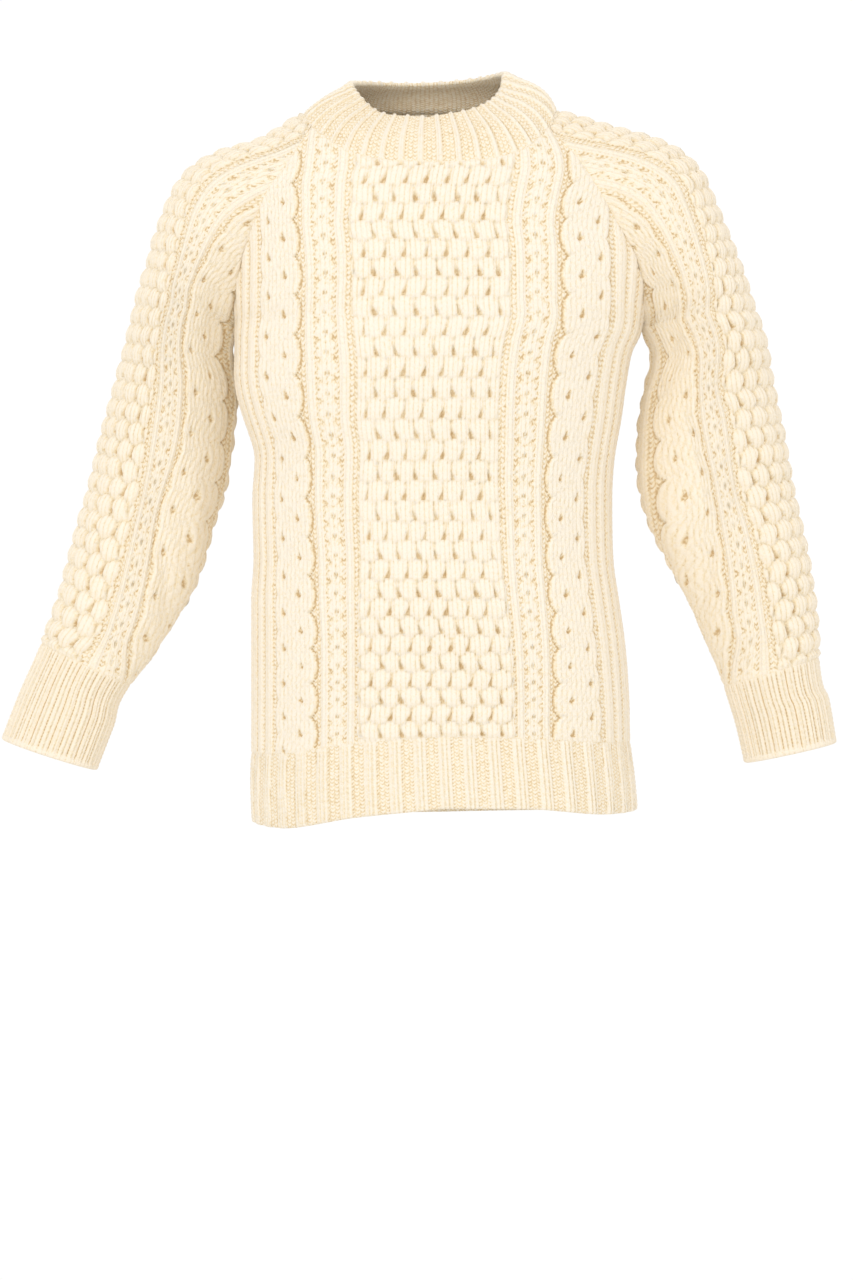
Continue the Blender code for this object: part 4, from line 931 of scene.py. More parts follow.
def rib_knit(where, row, sizes, kind):
    """A rib of plain stitches with a purl channel beside it: where goes up by 1 from each rib to the next."""
    across = where - np.round(where)
    half = kind.share / 2
    rib = round_top(across, 0.0, half, 4.0)
    stitch = (across / half + 1) / 2 * kind.wales
    line = groove(stitch, 0.2) * (np.abs(stitch - kind.wales / 2) < kind.wales / 2 - 0.5)
    knit = rib * (sizes.rib - sizes.rib_line * line + 1.2 * sizes.ply * plies(stitch, row))
    side = (0.5 - np.abs(across)) / (0.5 - half)
    channel = 0.45 + 0.3 * np.cos(np.pi * (side - 0.5)) + 0 * row
    height = np.maximum(knit, channel)
    left, right = mound(across, -half - 0.02, 0.045), mound(across, half + 0.02, 0.045)
    beside = left * kind.left + right * kind.right
    # Painted shade in the channel, along the lines of the rib and on its two sides.
    hollow = kind.dark * (knit < channel) + 0.7 * line * (rib > 0.3) + beside
    return height - 0.8 * beside, np.clip(hollow, 0, 1), np.where(rib > 0.2, 0.0, kind.purl)


# ---------------------------------------------------------------- the pieces


def leaned_together(points):
    """Brings the wearer's right sleeve and the side of the body together below the armpit."""
    x, z = points[..., 0], points[..., 2]
    meeting = through(ARM_AND_SIDE, "z", "x", z)
    reach = through(ARM_AND_SIDE, "z", "reach", z)
    apart = x - meeting
    push = reach * np.clip(apart / LEAN_TURN, -1, 1) * (1 - smooth(np.abs(apart), *LEAN_FADE))
    moved = points.copy()
    moved[..., 0] = x - push
    return moved


class Knitting:
    """A knitted piece: its flat outline, lattice and stitches, and how it lies on its form."""

    def __init__(self, name, form, stitches, knit_row, lattice, outline, edges, turned=0.0):
        self.name = name
        self.form = lambda x, y: leaned_together(form(x, y))  # flat millimetres to points in the frame
        self.stitches = stitches  # flat millimetres to height, painted shade of the hollows, and purl
        self.knit_row = knit_row  # flat millimetres up to rows of the fine stitches in its wool
        self.columns, self.rows = lattice
        self.outline = outline  # anticlockwise, seen from outside
        self.edges = edges  # flat millimetres to the distances from the seams and from a free edge
        self.turned = turned  # how much thicker the free edge is, where the knitting is turned over

    def normals(self, flat):
        """The outward directions of the form, from the points a small step to each side."""
        step = 0.6
        x, y = flat[:, 0], flat[:, 1]
        across = self.form(x + step, y) - self.form(x - step, y)
        up = self.form(x, y + step) - self.form(x, y - step)
        normal = np.cross(across, up)
        return normal / np.linalg.norm(normal, axis=1, keepdims=True)


def moved_in(outline, distance):
    """The points of an outline, moved into it."""
    before, after = np.roll(outline, 1, axis=0), np.roll(outline, -1, axis=0)
    unit = [d / np.linalg.norm(d, axis=1, keepdims=True) for d in (outline - before, after - outline)]
    inward = [np.stack([-u[:, 1], u[:, 0]], axis=1) for u in unit]
    bisector = inward[0] + inward[1]
    shared = 1 + (inward[0] * inward[1]).sum(axis=1, keepdims=True)
    return outline + distance * bisector / np.maximum(shared, 0.35)


def evenly(low, high, step):
    """Places from low to high, about a step apart."""
    return np.linspace(low, high, max(int(round((high - low) / step)), 1) + 1)


def along_edge(ends, length, step):
    """Places from one end of an edge to the other, about a step apart along its length."""
    return np.linspace(*ends, max(int(round(length / step)), 2) + 1)


def stitch_columns(honeycomb, last, sizes):
    """The lattice's columns in stitches: finest in the honeycomb and coarsest at the sides."""
    half, start = [np.array([0.0])], 0.0
    ends = (honeycomb, honeycomb + FINE_BANDS, last)
    for steps, end in zip((sizes.fine, sizes.fine - 1, sizes.fine - 2), ends):
        half.append(start + np.arange(1, round((end - start) * steps) + 1) / steps)
        start = end
    half = np.concatenate(half)
    return np.concatenate([-half[:0:-1], half])


def lattice_rows(first, last, places):
    """The lattice's rows, in cable rows, with the same places in each of them."""
    whole = np.arange(math.floor(first), math.ceil(last))
    rows = (whole[:, None] + np.array(places)).ravel()
    return rows[(rows > first) & (rows < last)]


def seam_height(stitch, facing):
    """The height of the seam with the hem rib below a stitch of the front (facing -1) or back (1)."""
    if facing < 0:
        stitch = drawn(stitch, FRONT_DRAWN["z"][0])
    return hem_height(stitch, facing, "seam")


def body_panel(name, facing, sizes):
    """The front or the back, from the hem's seam to the neckline."""
    side = "front" if facing < 0 else "back"
    base = worn_front if facing < 0 else BACK_FORM
    corner_z = NECK_CORNER_FRONT_Z if facing < 0 else NECK_CORNER_BACK_Z
    step = sizes.edge_step
    corner = float(panel_stitches(corner_z, side))
    stitch = along_edge((-HALF_BODY, HALF_BODY), 2 * HALF_BODY * STITCH, step)
    bottom = np.stack([stitch, seam_height(stitch, facing)], axis=1)
    sides = {}
    for end in (-1, 1):
        foot = float(seam_height(np.array(end * HALF_BODY), facing))
        z = np.concatenate([evenly(foot, UNDERARM_Z, step)[1:], evenly(UNDERARM_Z, corner_z, 0.8 * step)[1:]])
        sides[end] = np.stack([end * panel_stitches(z - 1e-6, side), z], axis=1)
    stitch = along_edge((corner, -corner), 2 * corner * STITCH, step)[1:-1]
    top = np.stack([stitch, neck_height(stitch, side)], axis=1)
    outline = np.concatenate([bottom, sides[1], top, sides[-1][::-1]]) * (STITCH, 1)

    def edges(x, z):
        across = np.abs(x) / STITCH
        wide = panel_stitches(z, side)
        slope = (panel_stitches(z + 1, side) - panel_stitches(z - 1, side)) / 2 * STITCH
        beside = (wide - across) * STITCH / np.sqrt(1 + slope**2)
        below = z - seam_height(x / STITCH, facing)
        above = (neck_height(x / STITCH, side) - z) * NECK_SLOPE
        return np.minimum(np.minimum(beside, below), above), FAR + 0 * x

    columns = stitch_columns(FRONT_HONEYCOMB, HALF_BODY, sizes) * STITCH
    rows = height_of_row(lattice_rows(0, BODY_ROWS, ROW_PLACES))
    return Knitting(
        name,
        lambda x, z: base(x / STITCH, z),
        lambda x, z: cable_knit(x / STITCH, row_at_height(z), sizes, False),
        lambda z: KNIT_ROWS * row_at_height(z),
        (columns, rows),
        outline,
        edges,
    )


def sleeve_piece(name, sleeve, sizes):
    """A sleeve from the cuff's seam to the neckline. On the right sleeve its stitches run the other way."""
    step = sizes.edge_step
    underarm, whole = float(sleeve.along(1.0)), float(sleeve.along(SLEEVE_TOP))
    along = np.concatenate([evenly(0, underarm, step), evenly(underarm, whole, step)[1:]])
    place = np.interp(along, sleeve.lengths["along"], sleeve.lengths["place"])
    sides = {}
    for end in (-1, 1):
        sides[end] = np.stack([sleeve.side * sleeve.edge_stitch(place, end * sleeve.side), along], axis=1)
    bottom = along_edge((sides[-1][0, 0], sides[1][0, 0]), SLEEVE_FOOT * STITCH, step)
    top = along_edge((sides[1][-1, 0], sides[-1][-1, 0]), SLEEVE_NECK * STITCH, step)
    outline = np.concatenate(
        [
            np.stack([bottom, 0 * bottom], axis=1),
            sides[1][1:-1],
            np.stack([top, whole + 0 * top], axis=1),
            sides[-1][-2:0:-1],
        ]
    ) * (STITCH, 1)
    levels = np.arange(0, whole, 1.0)
    ends = {end: np.interp(levels, along, sides[end][:, 0]) * STITCH for end in (-1, 1)}
    slopes = {end: np.gradient(ends[end], levels) for end in (-1, 1)}

    def edges(x, y):
        room = np.minimum(y, whole - y)
        for end in (-1, 1):
            beside = end * (np.interp(y, levels, ends[end]) - x)
            room = np.minimum(room, beside / np.sqrt(1 + np.interp(y, levels, slopes[end]) ** 2))
        return room, FAR + 0 * x

    columns = stitch_columns(SLEEVE_HONEYCOMB, HALF_BODY, sizes) * STITCH
    rows = (lattice_rows(0, whole / CABLE_ROW + 1, LOOSE_ROW_PLACES) - SLEEVE_LEAD) * CABLE_ROW
    return Knitting(
        name,
        lambda x, y: worn_sleeve(sleeve, sleeve.side * x / STITCH, y),
        lambda x, y: cable_knit(x / STITCH, y / CABLE_ROW + SLEEVE_LEAD, sizes, True),
        lambda y: KNIT_ROWS * y / CABLE_ROW,
        (columns, rows),
        outline,
        edges,
    )


def ribbed_band(name, form, size, ribs, stitches, free_side, row_height=RIB_ROW, turned=0.0):
    """A straight ribbed strip on a form: its width and depth, and how many ribs it has and steps for each.

    free_side is -1 where its foot is free and 1 where its top is.
    """
    width, height = size
    ribs, steps = ribs
    step = width / (ribs * steps)
    columns = np.arange(1, ribs * steps) * step
    near = np.array(EDGE_ROWS)
    rows = np.concatenate([near, evenly(near[-1], height, BAND_ROW)[1:-1]])
    if free_side > 0:
        rows = height - rows[::-1]
    x = np.concatenate([[0], columns, [width]])
    end_rows = evenly(0, height, BAND_ROW)[1:-1]
    outline = np.concatenate(
        [
            np.stack([x, 0 * x], axis=1),
            np.stack([width + 0 * end_rows, end_rows], axis=1),
            np.stack([x[::-1], height + 0 * x], axis=1),
            np.stack([0 * end_rows, end_rows[::-1]], axis=1),
        ]
    )

    def edges(x, y):
        beside = np.minimum(x, width - x)
        free, seam = (y, height - y) if free_side < 0 else (height - y, y)
        return np.minimum(beside, seam), free

    return Knitting(name, form, stitches, lambda y: y / row_height, (columns, rows), outline, edges, turned)


def hem_rib(name, facing, sizes):
    """The ribbed hem below the front or the back. Its ribs lean a little towards the sides."""
    base = FRONT_FORM if facing < 0 else BACK_FORM
    width = 2 * HALF_BODY * STITCH
    count = int(round(2 * HALF_BODY / HEM_RIB))

    def form(x, y):
        stitch = (x - width / 2) / STITCH
        low, high = (hem_height(stitch, facing, edge) for edge in ("edge", "seam"))
        return base(stitch, low + (high - low) * y / HEM_DEEP)

    def stitches(x, y):
        lean = HEM_LEAN * smooth(np.abs(x - width / 2) / width, 0.2, 0.5) * y / HEM_DEEP
        where = (x - width / 2) / (width / count) - HEM_OFFSET - lean
        return rib_knit(where, y / ROW, sizes, HEM_KNIT)

    return ribbed_band(name, form, (width, HEM_DEEP), (count, HEM_KNIT.columns), stitches, -1)


def cuff_piece(name, sleeve, sizes):
    """A ribbed cuff below the sleeve, with a plain cast off edge."""
    low, high = float(sleeve.along(CUFF_END)), float(sleeve.along(0.0))
    width = CUFF_RIBS * CUFF_RIB
    deep = high - low

    def form(x, y):
        along = low + y
        place = np.interp(along, sleeve.lengths["along"], sleeve.lengths["place"])
        ends = [sleeve.side * sleeve.edge_stitch(place, end * sleeve.side) for end in (-1, 1)]
        return sleeve.form(sleeve.side * (ends[0] + (ends[1] - ends[0]) * x / width), along)

    def stitches(x, y):
        height, hollow, purl = rib_knit(x / CUFF_RIB, y / ROW, sizes, CUFF_KNIT)
        cast_off = 1 - smooth(y, *CAST_OFF)
        return np.maximum(height, sizes.rib * cast_off), hollow * (1 - 0.9 * cast_off), purl

    return ribbed_band(name, form, (width, deep), (CUFF_RIBS, CUFF_KNIT.columns), stitches, -1)


def neckband_piece(name, sizes):
    """The ribbed neckband, turned over at its edge and joined to itself at the back right raglan."""
    whole = NECK_AROUND[-1]

    def stitches(x, y):
        return rib_knit(x / (whole / NECK_RIBS) + 0.5, y / ROW, sizes, NECK_KNIT)

    def form(x, y):
        return NECK_FORM(x, y / NECK_DEEP)

    ribs = (NECK_RIBS, NECK_KNIT.columns)
    return ribbed_band(name, form, (whole, NECK_DEEP), ribs, stitches, 1, NECK_ROW, sizes.fold)


# ---------------------------------------------------------------- the cloth


def laid_lattice(columns, rows, outline, room, margin):
    """Fills an outline with a lattice where it fits, and with triangles between the lattice and the outline.

    It gives all the flat points, the outline's first, and the four and three sided faces.
    """
    x, y = np.meshgrid(columns, rows)
    fits = room(x, y) > margin
    cell = fits[:-1, :-1] & fits[1:, :-1] & fits[:-1, 1:] & fits[1:, 1:]
    used = np.zeros(x.shape, bool)
    for down in (0, 1):
        for right in (0, 1):
            used[down : down + cell.shape[0], right : right + cell.shape[1]] |= cell
    index = np.full(x.shape, -1)
    index[used] = len(outline) + np.arange(used.sum())
    r, c = np.nonzero(cell)
    quads = np.stack([index[r, c], index[r, c + 1], index[r + 1, c + 1], index[r + 1, c]], axis=1)
    points = np.concatenate([outline, np.stack([x[used], y[used]], axis=1)])
    sides = np.concatenate([quads[:, [i, (i + 1) % 4]] for i in range(4)])
    count = len(points)
    inner = np.isin(sides[:, 0] * count + sides[:, 1], sides[:, 1] * count + sides[:, 0])
    border = sides[~inner]
    known, places = np.unique(border, return_inverse=True)
    corners = [Vector(p) for p in np.concatenate([outline, points[known]])]
    steps = (len(outline) + places.reshape(border.shape)).tolist()
    result = delaunay_2d_cdt(corners, steps, [list(range(len(outline)))], 1, 1e-7)
    first = np.concatenate([np.arange(len(outline)), known])
    order = first[[sources[0] for sources in result[3]]]
    triangles = order[np.array(result[2])]
    middle = points[triangles].mean(axis=1)
    row, column = np.searchsorted(rows, middle[:, 1]), np.searchsorted(columns, middle[:, 0])
    framed = np.pad(cell, 1)
    return points, quads, triangles[~framed[row, column]]


def shared_normals(pieces):
    """For each piece the mean outer and inner normals along its outline, shared with what it is sewn to."""
    lines = [piece.form(*piece.flat_outline.T) for piece in pieces]
    normals = np.concatenate([piece.normals(piece.flat_outline) for piece in pieces])
    tree = KDTree(len(normals))
    for i, point in enumerate(np.concatenate(lines)):
        tree.insert(point, i)
    tree.balance()
    shared, start = [], 0
    for line in lines:
        outer, inner = [], []
        for i, point in enumerate(line):
            meeting = normals[[k for _, k, _ in tree.find_range(point, SEAM_REACH)]]
            one_side = meeting[meeting @ normals[start + i] > 0]
            outer.append(meeting.mean(axis=0))
            inner.append(one_side.mean(axis=0))
        shared.append((np.array(outer), np.array(inner)))
        start += len(line)
    return shared


def raised(piece, flat, sizes):
    """The height, painted shade and purl of the outer face, taken down to the seams and round the free edge,
    with painted shade along each seam.
    """
    height, hollow, purl = piece.stitches(*flat.T)
    seam, free = piece.edges(*flat.T)
    count = len(piece.flat_outline)
    seam[:count] = np.where(free[:count] > 1.0, 0.0, FAR)
    free = np.maximum(free, 0)
    sewn = smooth(seam, 0.0, sizes.seam_width)
    height = SEAM_RISE + (height - SEAM_RISE) * sewn
    hollow = hollow * sewn + sizes.seam_shade * (1 - smooth(seam, 0.0, SEAM_SHADOW))
    height = height + piece.turned * (1 - smooth(free, *TURNED_OVER))
    inset = np.clip(sizes.edge_round - free, 0, None)
    height = height - (sizes.edge_round - np.sqrt(np.clip(sizes.edge_round**2 - inset**2, 0, None)))
    return height, np.clip(hollow, 0, 1), purl


def knitted_mesh(piece, outer_edge, inner_edge, sizes):
    """The closed mesh of a piece: the knitted outer face, the plain inner face and the rim between them."""
    outline = piece.flat_outline
    count = len(outline)

    def room(x, y):
        return np.minimum(*piece.edges(x, y))

    flat, quads, triangles = laid_lattice(piece.columns, piece.rows, outline, room, LATTICE_MARGIN)
    height, hollow, purl = raised(piece, flat, sizes)
    normals = np.concatenate([outer_edge, piece.normals(flat[count:])])
    outer = piece.form(*flat.T) + normals * height[:, None]
    ends = zip(outline.min(axis=0), outline.max(axis=0), (sizes.inner_step, 1.3 * sizes.inner_step))
    columns, rows = (evenly(low, high, step) for low, high, step in ends)
    plain, inner_quads, inner_triangles = laid_lattice(columns, rows, outline, room, 0.3 * sizes.inner_step)
    inner_normals = np.concatenate([inner_edge, piece.normals(plain[count:])])
    inner = piece.form(*plain.T) - inner_normals * WALL
    start = len(outer)
    i = np.arange(count)
    j = (i + 1) % count
    rim = np.stack([j, i, start + i, start + j], axis=1)
    quads = np.concatenate([quads, rim, start + inner_quads[:, ::-1]])
    triangles = np.concatenate([triangles, start + inner_triangles[:, ::-1]])
    mesh = filled_mesh(piece.name, np.concatenate([outer, inner]) * MILLIMETRE, quads, triangles)
    flat = np.concatenate([flat, plain])
    measure_stitches(mesh, np.stack([flat[:, 0] / STITCH, piece.knit_row(flat[:, 1])], axis=1))
    # Painted shade of the hollows on the outer face, and an even painted shade on the inner face.
    mark(mesh, "hollow", "FLOAT", "POINT", np.append(hollow, np.full(len(plain), INNER_PAINTED_SHADE)))
    mark(mesh, "purl", "FLOAT", "POINT", np.append(purl, np.ones(len(plain))))
    edges = np.zeros(2 * len(mesh.edges), np.int32)
    mesh.edges.foreach_get("vertices", edges)
    sewn = np.zeros(len(flat), bool)
    sewn[:count] = piece.edges(*outline.T)[1] > 1.0
    mark(mesh, "sharp_edge", "BOOLEAN", "EDGE", sewn[edges.reshape(-1, 2)].all(axis=1))
    return mesh


def filled_mesh(name, points, quads, triangles):
    """A smooth mesh of points in metres with four and three sided faces."""
    mesh = bpy.data.meshes.new(name)
    mesh.vertices.add(len(points))
    mesh.vertices.foreach_set("co", points.ravel())
    corners = np.concatenate([quads.ravel(), triangles.ravel()]).astype(np.int32)
    mesh.loops.add(len(corners))
    mesh.loops.foreach_set("vertex_index", corners)
    starts = np.concatenate([4 * np.arange(len(quads)), 4 * len(quads) + 3 * np.arange(len(triangles))])
    mesh.polygons.add(len(starts))
    mesh.polygons.foreach_set("loop_start", starts.astype(np.int32))
    mesh.update(calc_edges=True)
    mesh.validate()
    mesh.shade_smooth()
    return mesh


def measure_stitches(mesh, measure):
    """Gives a mesh a map of its stitches and rows, from their number at each point."""
    corners = np.zeros(len(mesh.loops), np.int32)
    mesh.loops.foreach_get("vertex_index", corners)
    layer = mesh.uv_layers.new(name="stitches")
    layer.data.foreach_set("uv", measure[corners].astype(np.float32).ravel())


def mark(mesh, name, kind, domain, values):
    """Gives a mesh a named value at each of its points or edges."""
    attribute = mesh.attributes.new(name, kind, domain)
    attribute.data.foreach_set("value", values if kind == "BOOLEAN" else values.astype(np.float32))


# ---------------------------------------------------------------- the wool


FIBRES, TUFTS, CLOUDS = 900.0, 330.0, 14.0  # scales of the noises, in swells to a metre
FIBRE_SHARE = 0.8  # how high the fibres stand beside the stitches
BUMP_HEIGHT = 0.0009
SHADED_AT = 0.4  # how deep a hollow has the colour of the shaded wool


class WoolNodes:
    """The nodes of a material, with short ways of adding the kinds that wool needs."""

    def __init__(self, tree):
        self.nodes, self.links = tree.nodes, tree.links
        self.place = self.add("ShaderNodeTexCoord").outputs["Object"]

    def add(self, kind, **settings):
        """A new node with its settings."""
        new = self.nodes.new(kind)
        for key, value in settings.items():
            setattr(new, key, value)
        return new

    def fill(self, sockets, values):
        """Gives each socket its number, or links it to the socket that it takes its value from."""
        for socket, value in zip(sockets, values):
            if isinstance(value, bpy.types.NodeSocket):
                self.links.new(value, socket)
            else:
                socket.default_value = value

    def math(self, operation, *values):
        new = self.add("ShaderNodeMath", operation=operation)
        self.fill(new.inputs, values)
        return new.outputs[0]

    def mix(self, share, first, second):
        """The first value where the share is 0 and the second where it is 1."""
        new = self.add("ShaderNodeMix", data_type="FLOAT")
        self.fill((new.inputs[0], new.inputs[2], new.inputs[3]), (share, first, second))
        return new.outputs[0]

    def noise(self, scale, detail):
        new = self.add("ShaderNodeTexNoise")
        sockets = [new.inputs[name] for name in ("Vector", "Scale", "Detail")]
        self.fill(sockets, (self.place, scale, detail))
        return new.outputs["Fac"]

    def wave(self, value, power):
        """A wave from 0 to 1 for each whole number in the value, with narrower crests at a higher power."""
        sine = self.math("SINE", self.math("MULTIPLY", value, math.tau))
        return self.math("POWER", self.math("MULTIPLY_ADD", sine, 0.5, 0.5), power)

    def value(self, name):
        """One of the values that the mesh is marked with."""
        return self.add("ShaderNodeAttribute", attribute_name=name).outputs["Fac"]


def fine_stitches(wool, purl, tufts):
    """The height of the stitches in the wool: slanted plies on the plain side, heads on the purl side."""
    stitch = wool.add("ShaderNodeSeparateXYZ")
    wool.links.new(wool.add("ShaderNodeUVMap", uv_map="stitches").outputs["UV"], stitch.inputs[0])
    across, row = stitch.outputs[0], stitch.outputs[1]
    astray = wool.math("MULTIPLY_ADD", tufts, 0.5, -0.25)
    across = wool.math("ADD", across, wool.math("MULTIPLY", astray, 0.5))
    row = wool.math("ADD", row, astray)
    leg = wool.math("ABSOLUTE", wool.math("SUBTRACT", wool.math("FRACT", across), 0.5))
    ply = wool.math("MULTIPLY_ADD", wool.wave(wool.math("MULTIPLY_ADD", leg, -1.2, row), 0.7), 0.4, 0.6)
    beside = wool.math("MULTIPLY", wool.math("SUBTRACT", 0.5, leg), 6.0)
    knit = wool.math("MULTIPLY", ply, wool.math("SMOOTH_MIN", beside, 1.0, 0.4))
    every_other = wool.math("MULTIPLY_ADD", wool.math("ROUND", across), 0.5, row)
    head = wool.wave(wool.math("MULTIPLY_ADD", leg, 0.9, every_other), 0.8)
    purl_head = wool.math("MULTIPLY", head, wool.wave(wool.math("ADD", across, 0.25), 0.35))
    return wool.mix(purl, knit, purl_head)


def wool_depth(wool, colours, shade, stitches, purl, fuzz):
    """How far the colour goes from the raised wool towards the painted shade of the hollows, from 0 to 1."""
    grain = wool.math("MULTIPLY_ADD", purl, 0.2, 1.0)
    speckle = wool.math("MULTIPLY", wool.math("SUBTRACT", fuzz, 1.0), colours.speckle)
    speckle = wool.math("MULTIPLY", speckle, grain)
    cloudy = wool.math("MULTIPLY", wool.math("SUBTRACT", wool.noise(CLOUDS, 1.0), 0.5), 0.12)
    # Painted shade in the lines between the plies, stronger on purl stitches.
    strength = wool.math("MULTIPLY_ADD", purl, colours.purl_lines - colours.lines, colours.lines)
    lines = wool.math("MULTIPLY", wool.math("SUBTRACT", 0.6, stitches), strength)
    depth = wool.math("MULTIPLY", wool.value("hollow"), shade)
    for part in (speckle, cloudy, lines):
        depth = wool.math("ADD", depth, part)
    return wool.math("MINIMUM", wool.math("MAXIMUM", depth, 0.0), 1.0)


def wool_material(name, colours, shade, tint):
    """Soft undyed wool: pale on the stitches and with painted tan shade in the hollows, with plies and
    fibres.
    """
    material = bpy.data.materials.new(name)
    material.use_nodes = True
    wool = WoolNodes(material.node_tree)
    shader = wool.nodes["Principled BSDF"]
    for socket, value in (
        ("Roughness", colours.roughness),
        ("Sheen Weight", colours.sheen),
        ("Sheen Roughness", 0.55),
        ("Sheen Tint", (*colours.wool, 1)),
        ("Specular IOR Level", 0.25),
    ):
        shader.inputs[socket].default_value = value
    purl, fibres, tufts = wool.value("purl"), wool.noise(FIBRES, 3.0), wool.noise(TUFTS, 2.0)
    stitches = fine_stitches(wool, purl, tufts)
    bump = wool.add("ShaderNodeBump")
    bump.inputs["Strength"].default_value = colours.relief
    bump.inputs["Distance"].default_value = BUMP_HEIGHT
    height = wool.math("ADD", stitches, wool.math("MULTIPLY", fibres, FIBRE_SHARE))
    wool.links.new(height, bump.inputs["Height"])
    wool.links.new(bump.outputs["Normal"], shader.inputs["Normal"])
    # The colour ramp goes from the wool's own colour to the painted shade of the hollows.
    ramp = wool.add("ShaderNodeValToRGB")
    ramp.color_ramp.elements[0].color = [*(c * t for c, t in zip(colours.wool, tint)), 1]
    ramp.color_ramp.elements[1].color = [*colours.crevice, 1]
    middle = ramp.color_ramp.elements.new(SHADED_AT)
    middle.color = [*colours.shaded, 1]
    fuzz = wool.math("ADD", fibres, tufts)
    wool.links.new(wool_depth(wool, colours, shade, stitches, purl, fuzz), ramp.inputs[0])
    wool.links.new(ramp.outputs[0], shader.inputs["Base Color"])
    return material


# ---------------------------------------------------------------- the settings


class SweaterSizes(bpy.types.PropertyGroup):
    """The sizes of the stitches, and how finely the knitting is made."""

    pillow: FloatProperty(
        name="Pillow", description="Height of a pillow of the honeycomb", default=0.0038, unit="LENGTH"
    )
    lean: FloatProperty(
        name="Lean", description="How far a hole leans in a cable row, in stitches", default=1.1
    )
    hole: FloatProperty(name="Hole", description="Half the width of a hole, in stitches", default=0.42)
    wale: FloatProperty(
        name="Line", description="Depth of the line between two stitches", default=0.0006, unit="LENGTH"
    )
    ply: FloatProperty(
        name="Ply", description="Height of the plies of a stitch", default=0.00022, unit="LENGTH"
    )
    line_shade: FloatProperty(
        name="Line shade", description="How dark the lines between stitches are", default=0.22
    )
    rib: FloatProperty(
        name="Rib", description="Height of a rib or plain column", default=0.0025, unit="LENGTH"
    )
    rib_line: FloatProperty(
        name="Rib line", description="Depth of the lines along a rib", default=0.0009, unit="LENGTH"
    )
    lace: FloatProperty(
        name="Lace", description="Height of the lace's crossed stitches", default=0.0022, unit="LENGTH"
    )
    cable: FloatProperty(
        name="Cable", description="Height of the wave cable", default=0.0025, unit="LENGTH"
    )
    swing: FloatProperty(
        name="Swing", description="How far the cable's ropes swing, in stitches", default=1.6
    )
    sunk: FloatProperty(
        name="Sunk", description="How far the hollows sink in", default=0.0006, unit="LENGTH"
    )
    fold: FloatProperty(
        name="Turned edge", description="Extra height of the neckband's edge", default=0.0012, unit="LENGTH"
    )
    seam_width: FloatProperty(
        name="Seam width", description="Width of the strip beside a seam", default=0.0026, unit="LENGTH"
    )
    seam_shade: FloatProperty(name="Seam shade", description="How dark the line of a seam is", default=0.18)
    edge_round: FloatProperty(
        name="Edge", description="Radius of the free edges of the ribs", default=0.0026, unit="LENGTH"
    )
    fine: IntProperty(
        name="Fine", description="Columns for each stitch of the honeycomb", default=4, min=3, max=4
    )
    edge_step: FloatProperty(
        name="Edge step", description="Distance between edge points", default=0.002, unit="LENGTH"
    )
    inner_step: FloatProperty(
        name="Inner step", description="Distance between inner points", default=0.006, unit="LENGTH"
    )


class SweaterColours(bpy.types.PropertyGroup):
    """The colours of the wool and of its painted shade, and the wool's softness."""

    wool: FloatVectorProperty(
        name="Wool", description="Colour of the raised stitches", default=(0.94, 0.87, 0.755), subtype="COLOR"
    )
    # Painted shade: the colour beside the hollows.
    shaded: FloatVectorProperty(
        name="Shaded", description="Colour beside the hollows", default=(0.90, 0.78, 0.56), subtype="COLOR"
    )
    # Painted shade: the colour deep in the hollows.
    crevice: FloatVectorProperty(
        name="Hollow", description="Colour deep in the hollows", default=(0.66, 0.47, 0.25), subtype="COLOR"
    )
    roughness: FloatProperty(
        name="Roughness", description="Roughness of the wool", default=0.95, subtype="FACTOR"
    )
    sheen: FloatProperty(
        name="Sheen", description="Weight of the soft sheen", default=0.5, subtype="FACTOR"
    )
    relief: FloatProperty(
        name="Relief", description="Strength of the plies and fibres", default=0.5, subtype="FACTOR"
    )
    speckle: FloatProperty(name="Speckle", description="How uneven the fibres' colour is", default=0.9)
    # Painted shade in the lines between the plies and between purl stitches.
    lines: FloatProperty(name="Lines", description="How dark the lines between the plies are", default=0.28)
    purl_lines: FloatProperty(
        name="Purl lines", description="How dark the lines between purl stitches are", default=0.85
    )


class SweaterStage(bpy.types.PropertyGroup):
    """The camera, the lights and the floor."""

    distance: FloatProperty(
        name="Distance", description="From the camera to the neck", default=3.2, unit="LENGTH"
    )
    camera_x: FloatProperty(
        name="Camera across", description="The camera's place across", default=-0.0031, unit="LENGTH"
    )
    camera_z: FloatProperty(
        name="Camera height", description="The camera's height", default=-0.4488, unit="LENGTH"
    )
    view_height: FloatProperty(
        name="View height", description="Height of the view at the sweater", default=1.1264, unit="LENGTH"
    )
    floor_z: FloatProperty(name="Floor", description="Height of the floor", default=-1.45, unit="LENGTH")
    floor_radius: FloatProperty(
        name="Floor radius", description="Radius of the floor", default=2.2, unit="LENGTH"
    )
    sky: FloatProperty(name="Surroundings", description="Strength of the even light all round", default=0.92)
    key: FloatProperty(
        name="Key light", description="Power of the light at the left", default=15.0, unit="POWER"
    )
    front: FloatProperty(
        name="Front light", description="Power of the light in front", default=6.0, unit="POWER"
    )
    side: FloatProperty(
        name="Side light", description="Power of the light at the right", default=8.0, unit="POWER"
    )
    top: FloatProperty(
        name="Top light", description="Power of the light above", default=4.5, unit="POWER"
    )


SETTINGS = (
    ("sweater_sizes", SweaterSizes),
    ("sweater_colours", SweaterColours),
    ("sweater_stage", SweaterStage),
)
Measures = namedtuple("Measures", SweaterSizes.__annotations__)


def measures(group):
    """The sizes as plain numbers, with the lengths in millimetres."""
    values = {}
    for name in SweaterSizes.__annotations__:
        value = getattr(group, name)
        is_length = group.bl_rna.properties[name].unit == "LENGTH"
        values[name] = value / MILLIMETRE if is_length else value
    return Measures(**values)


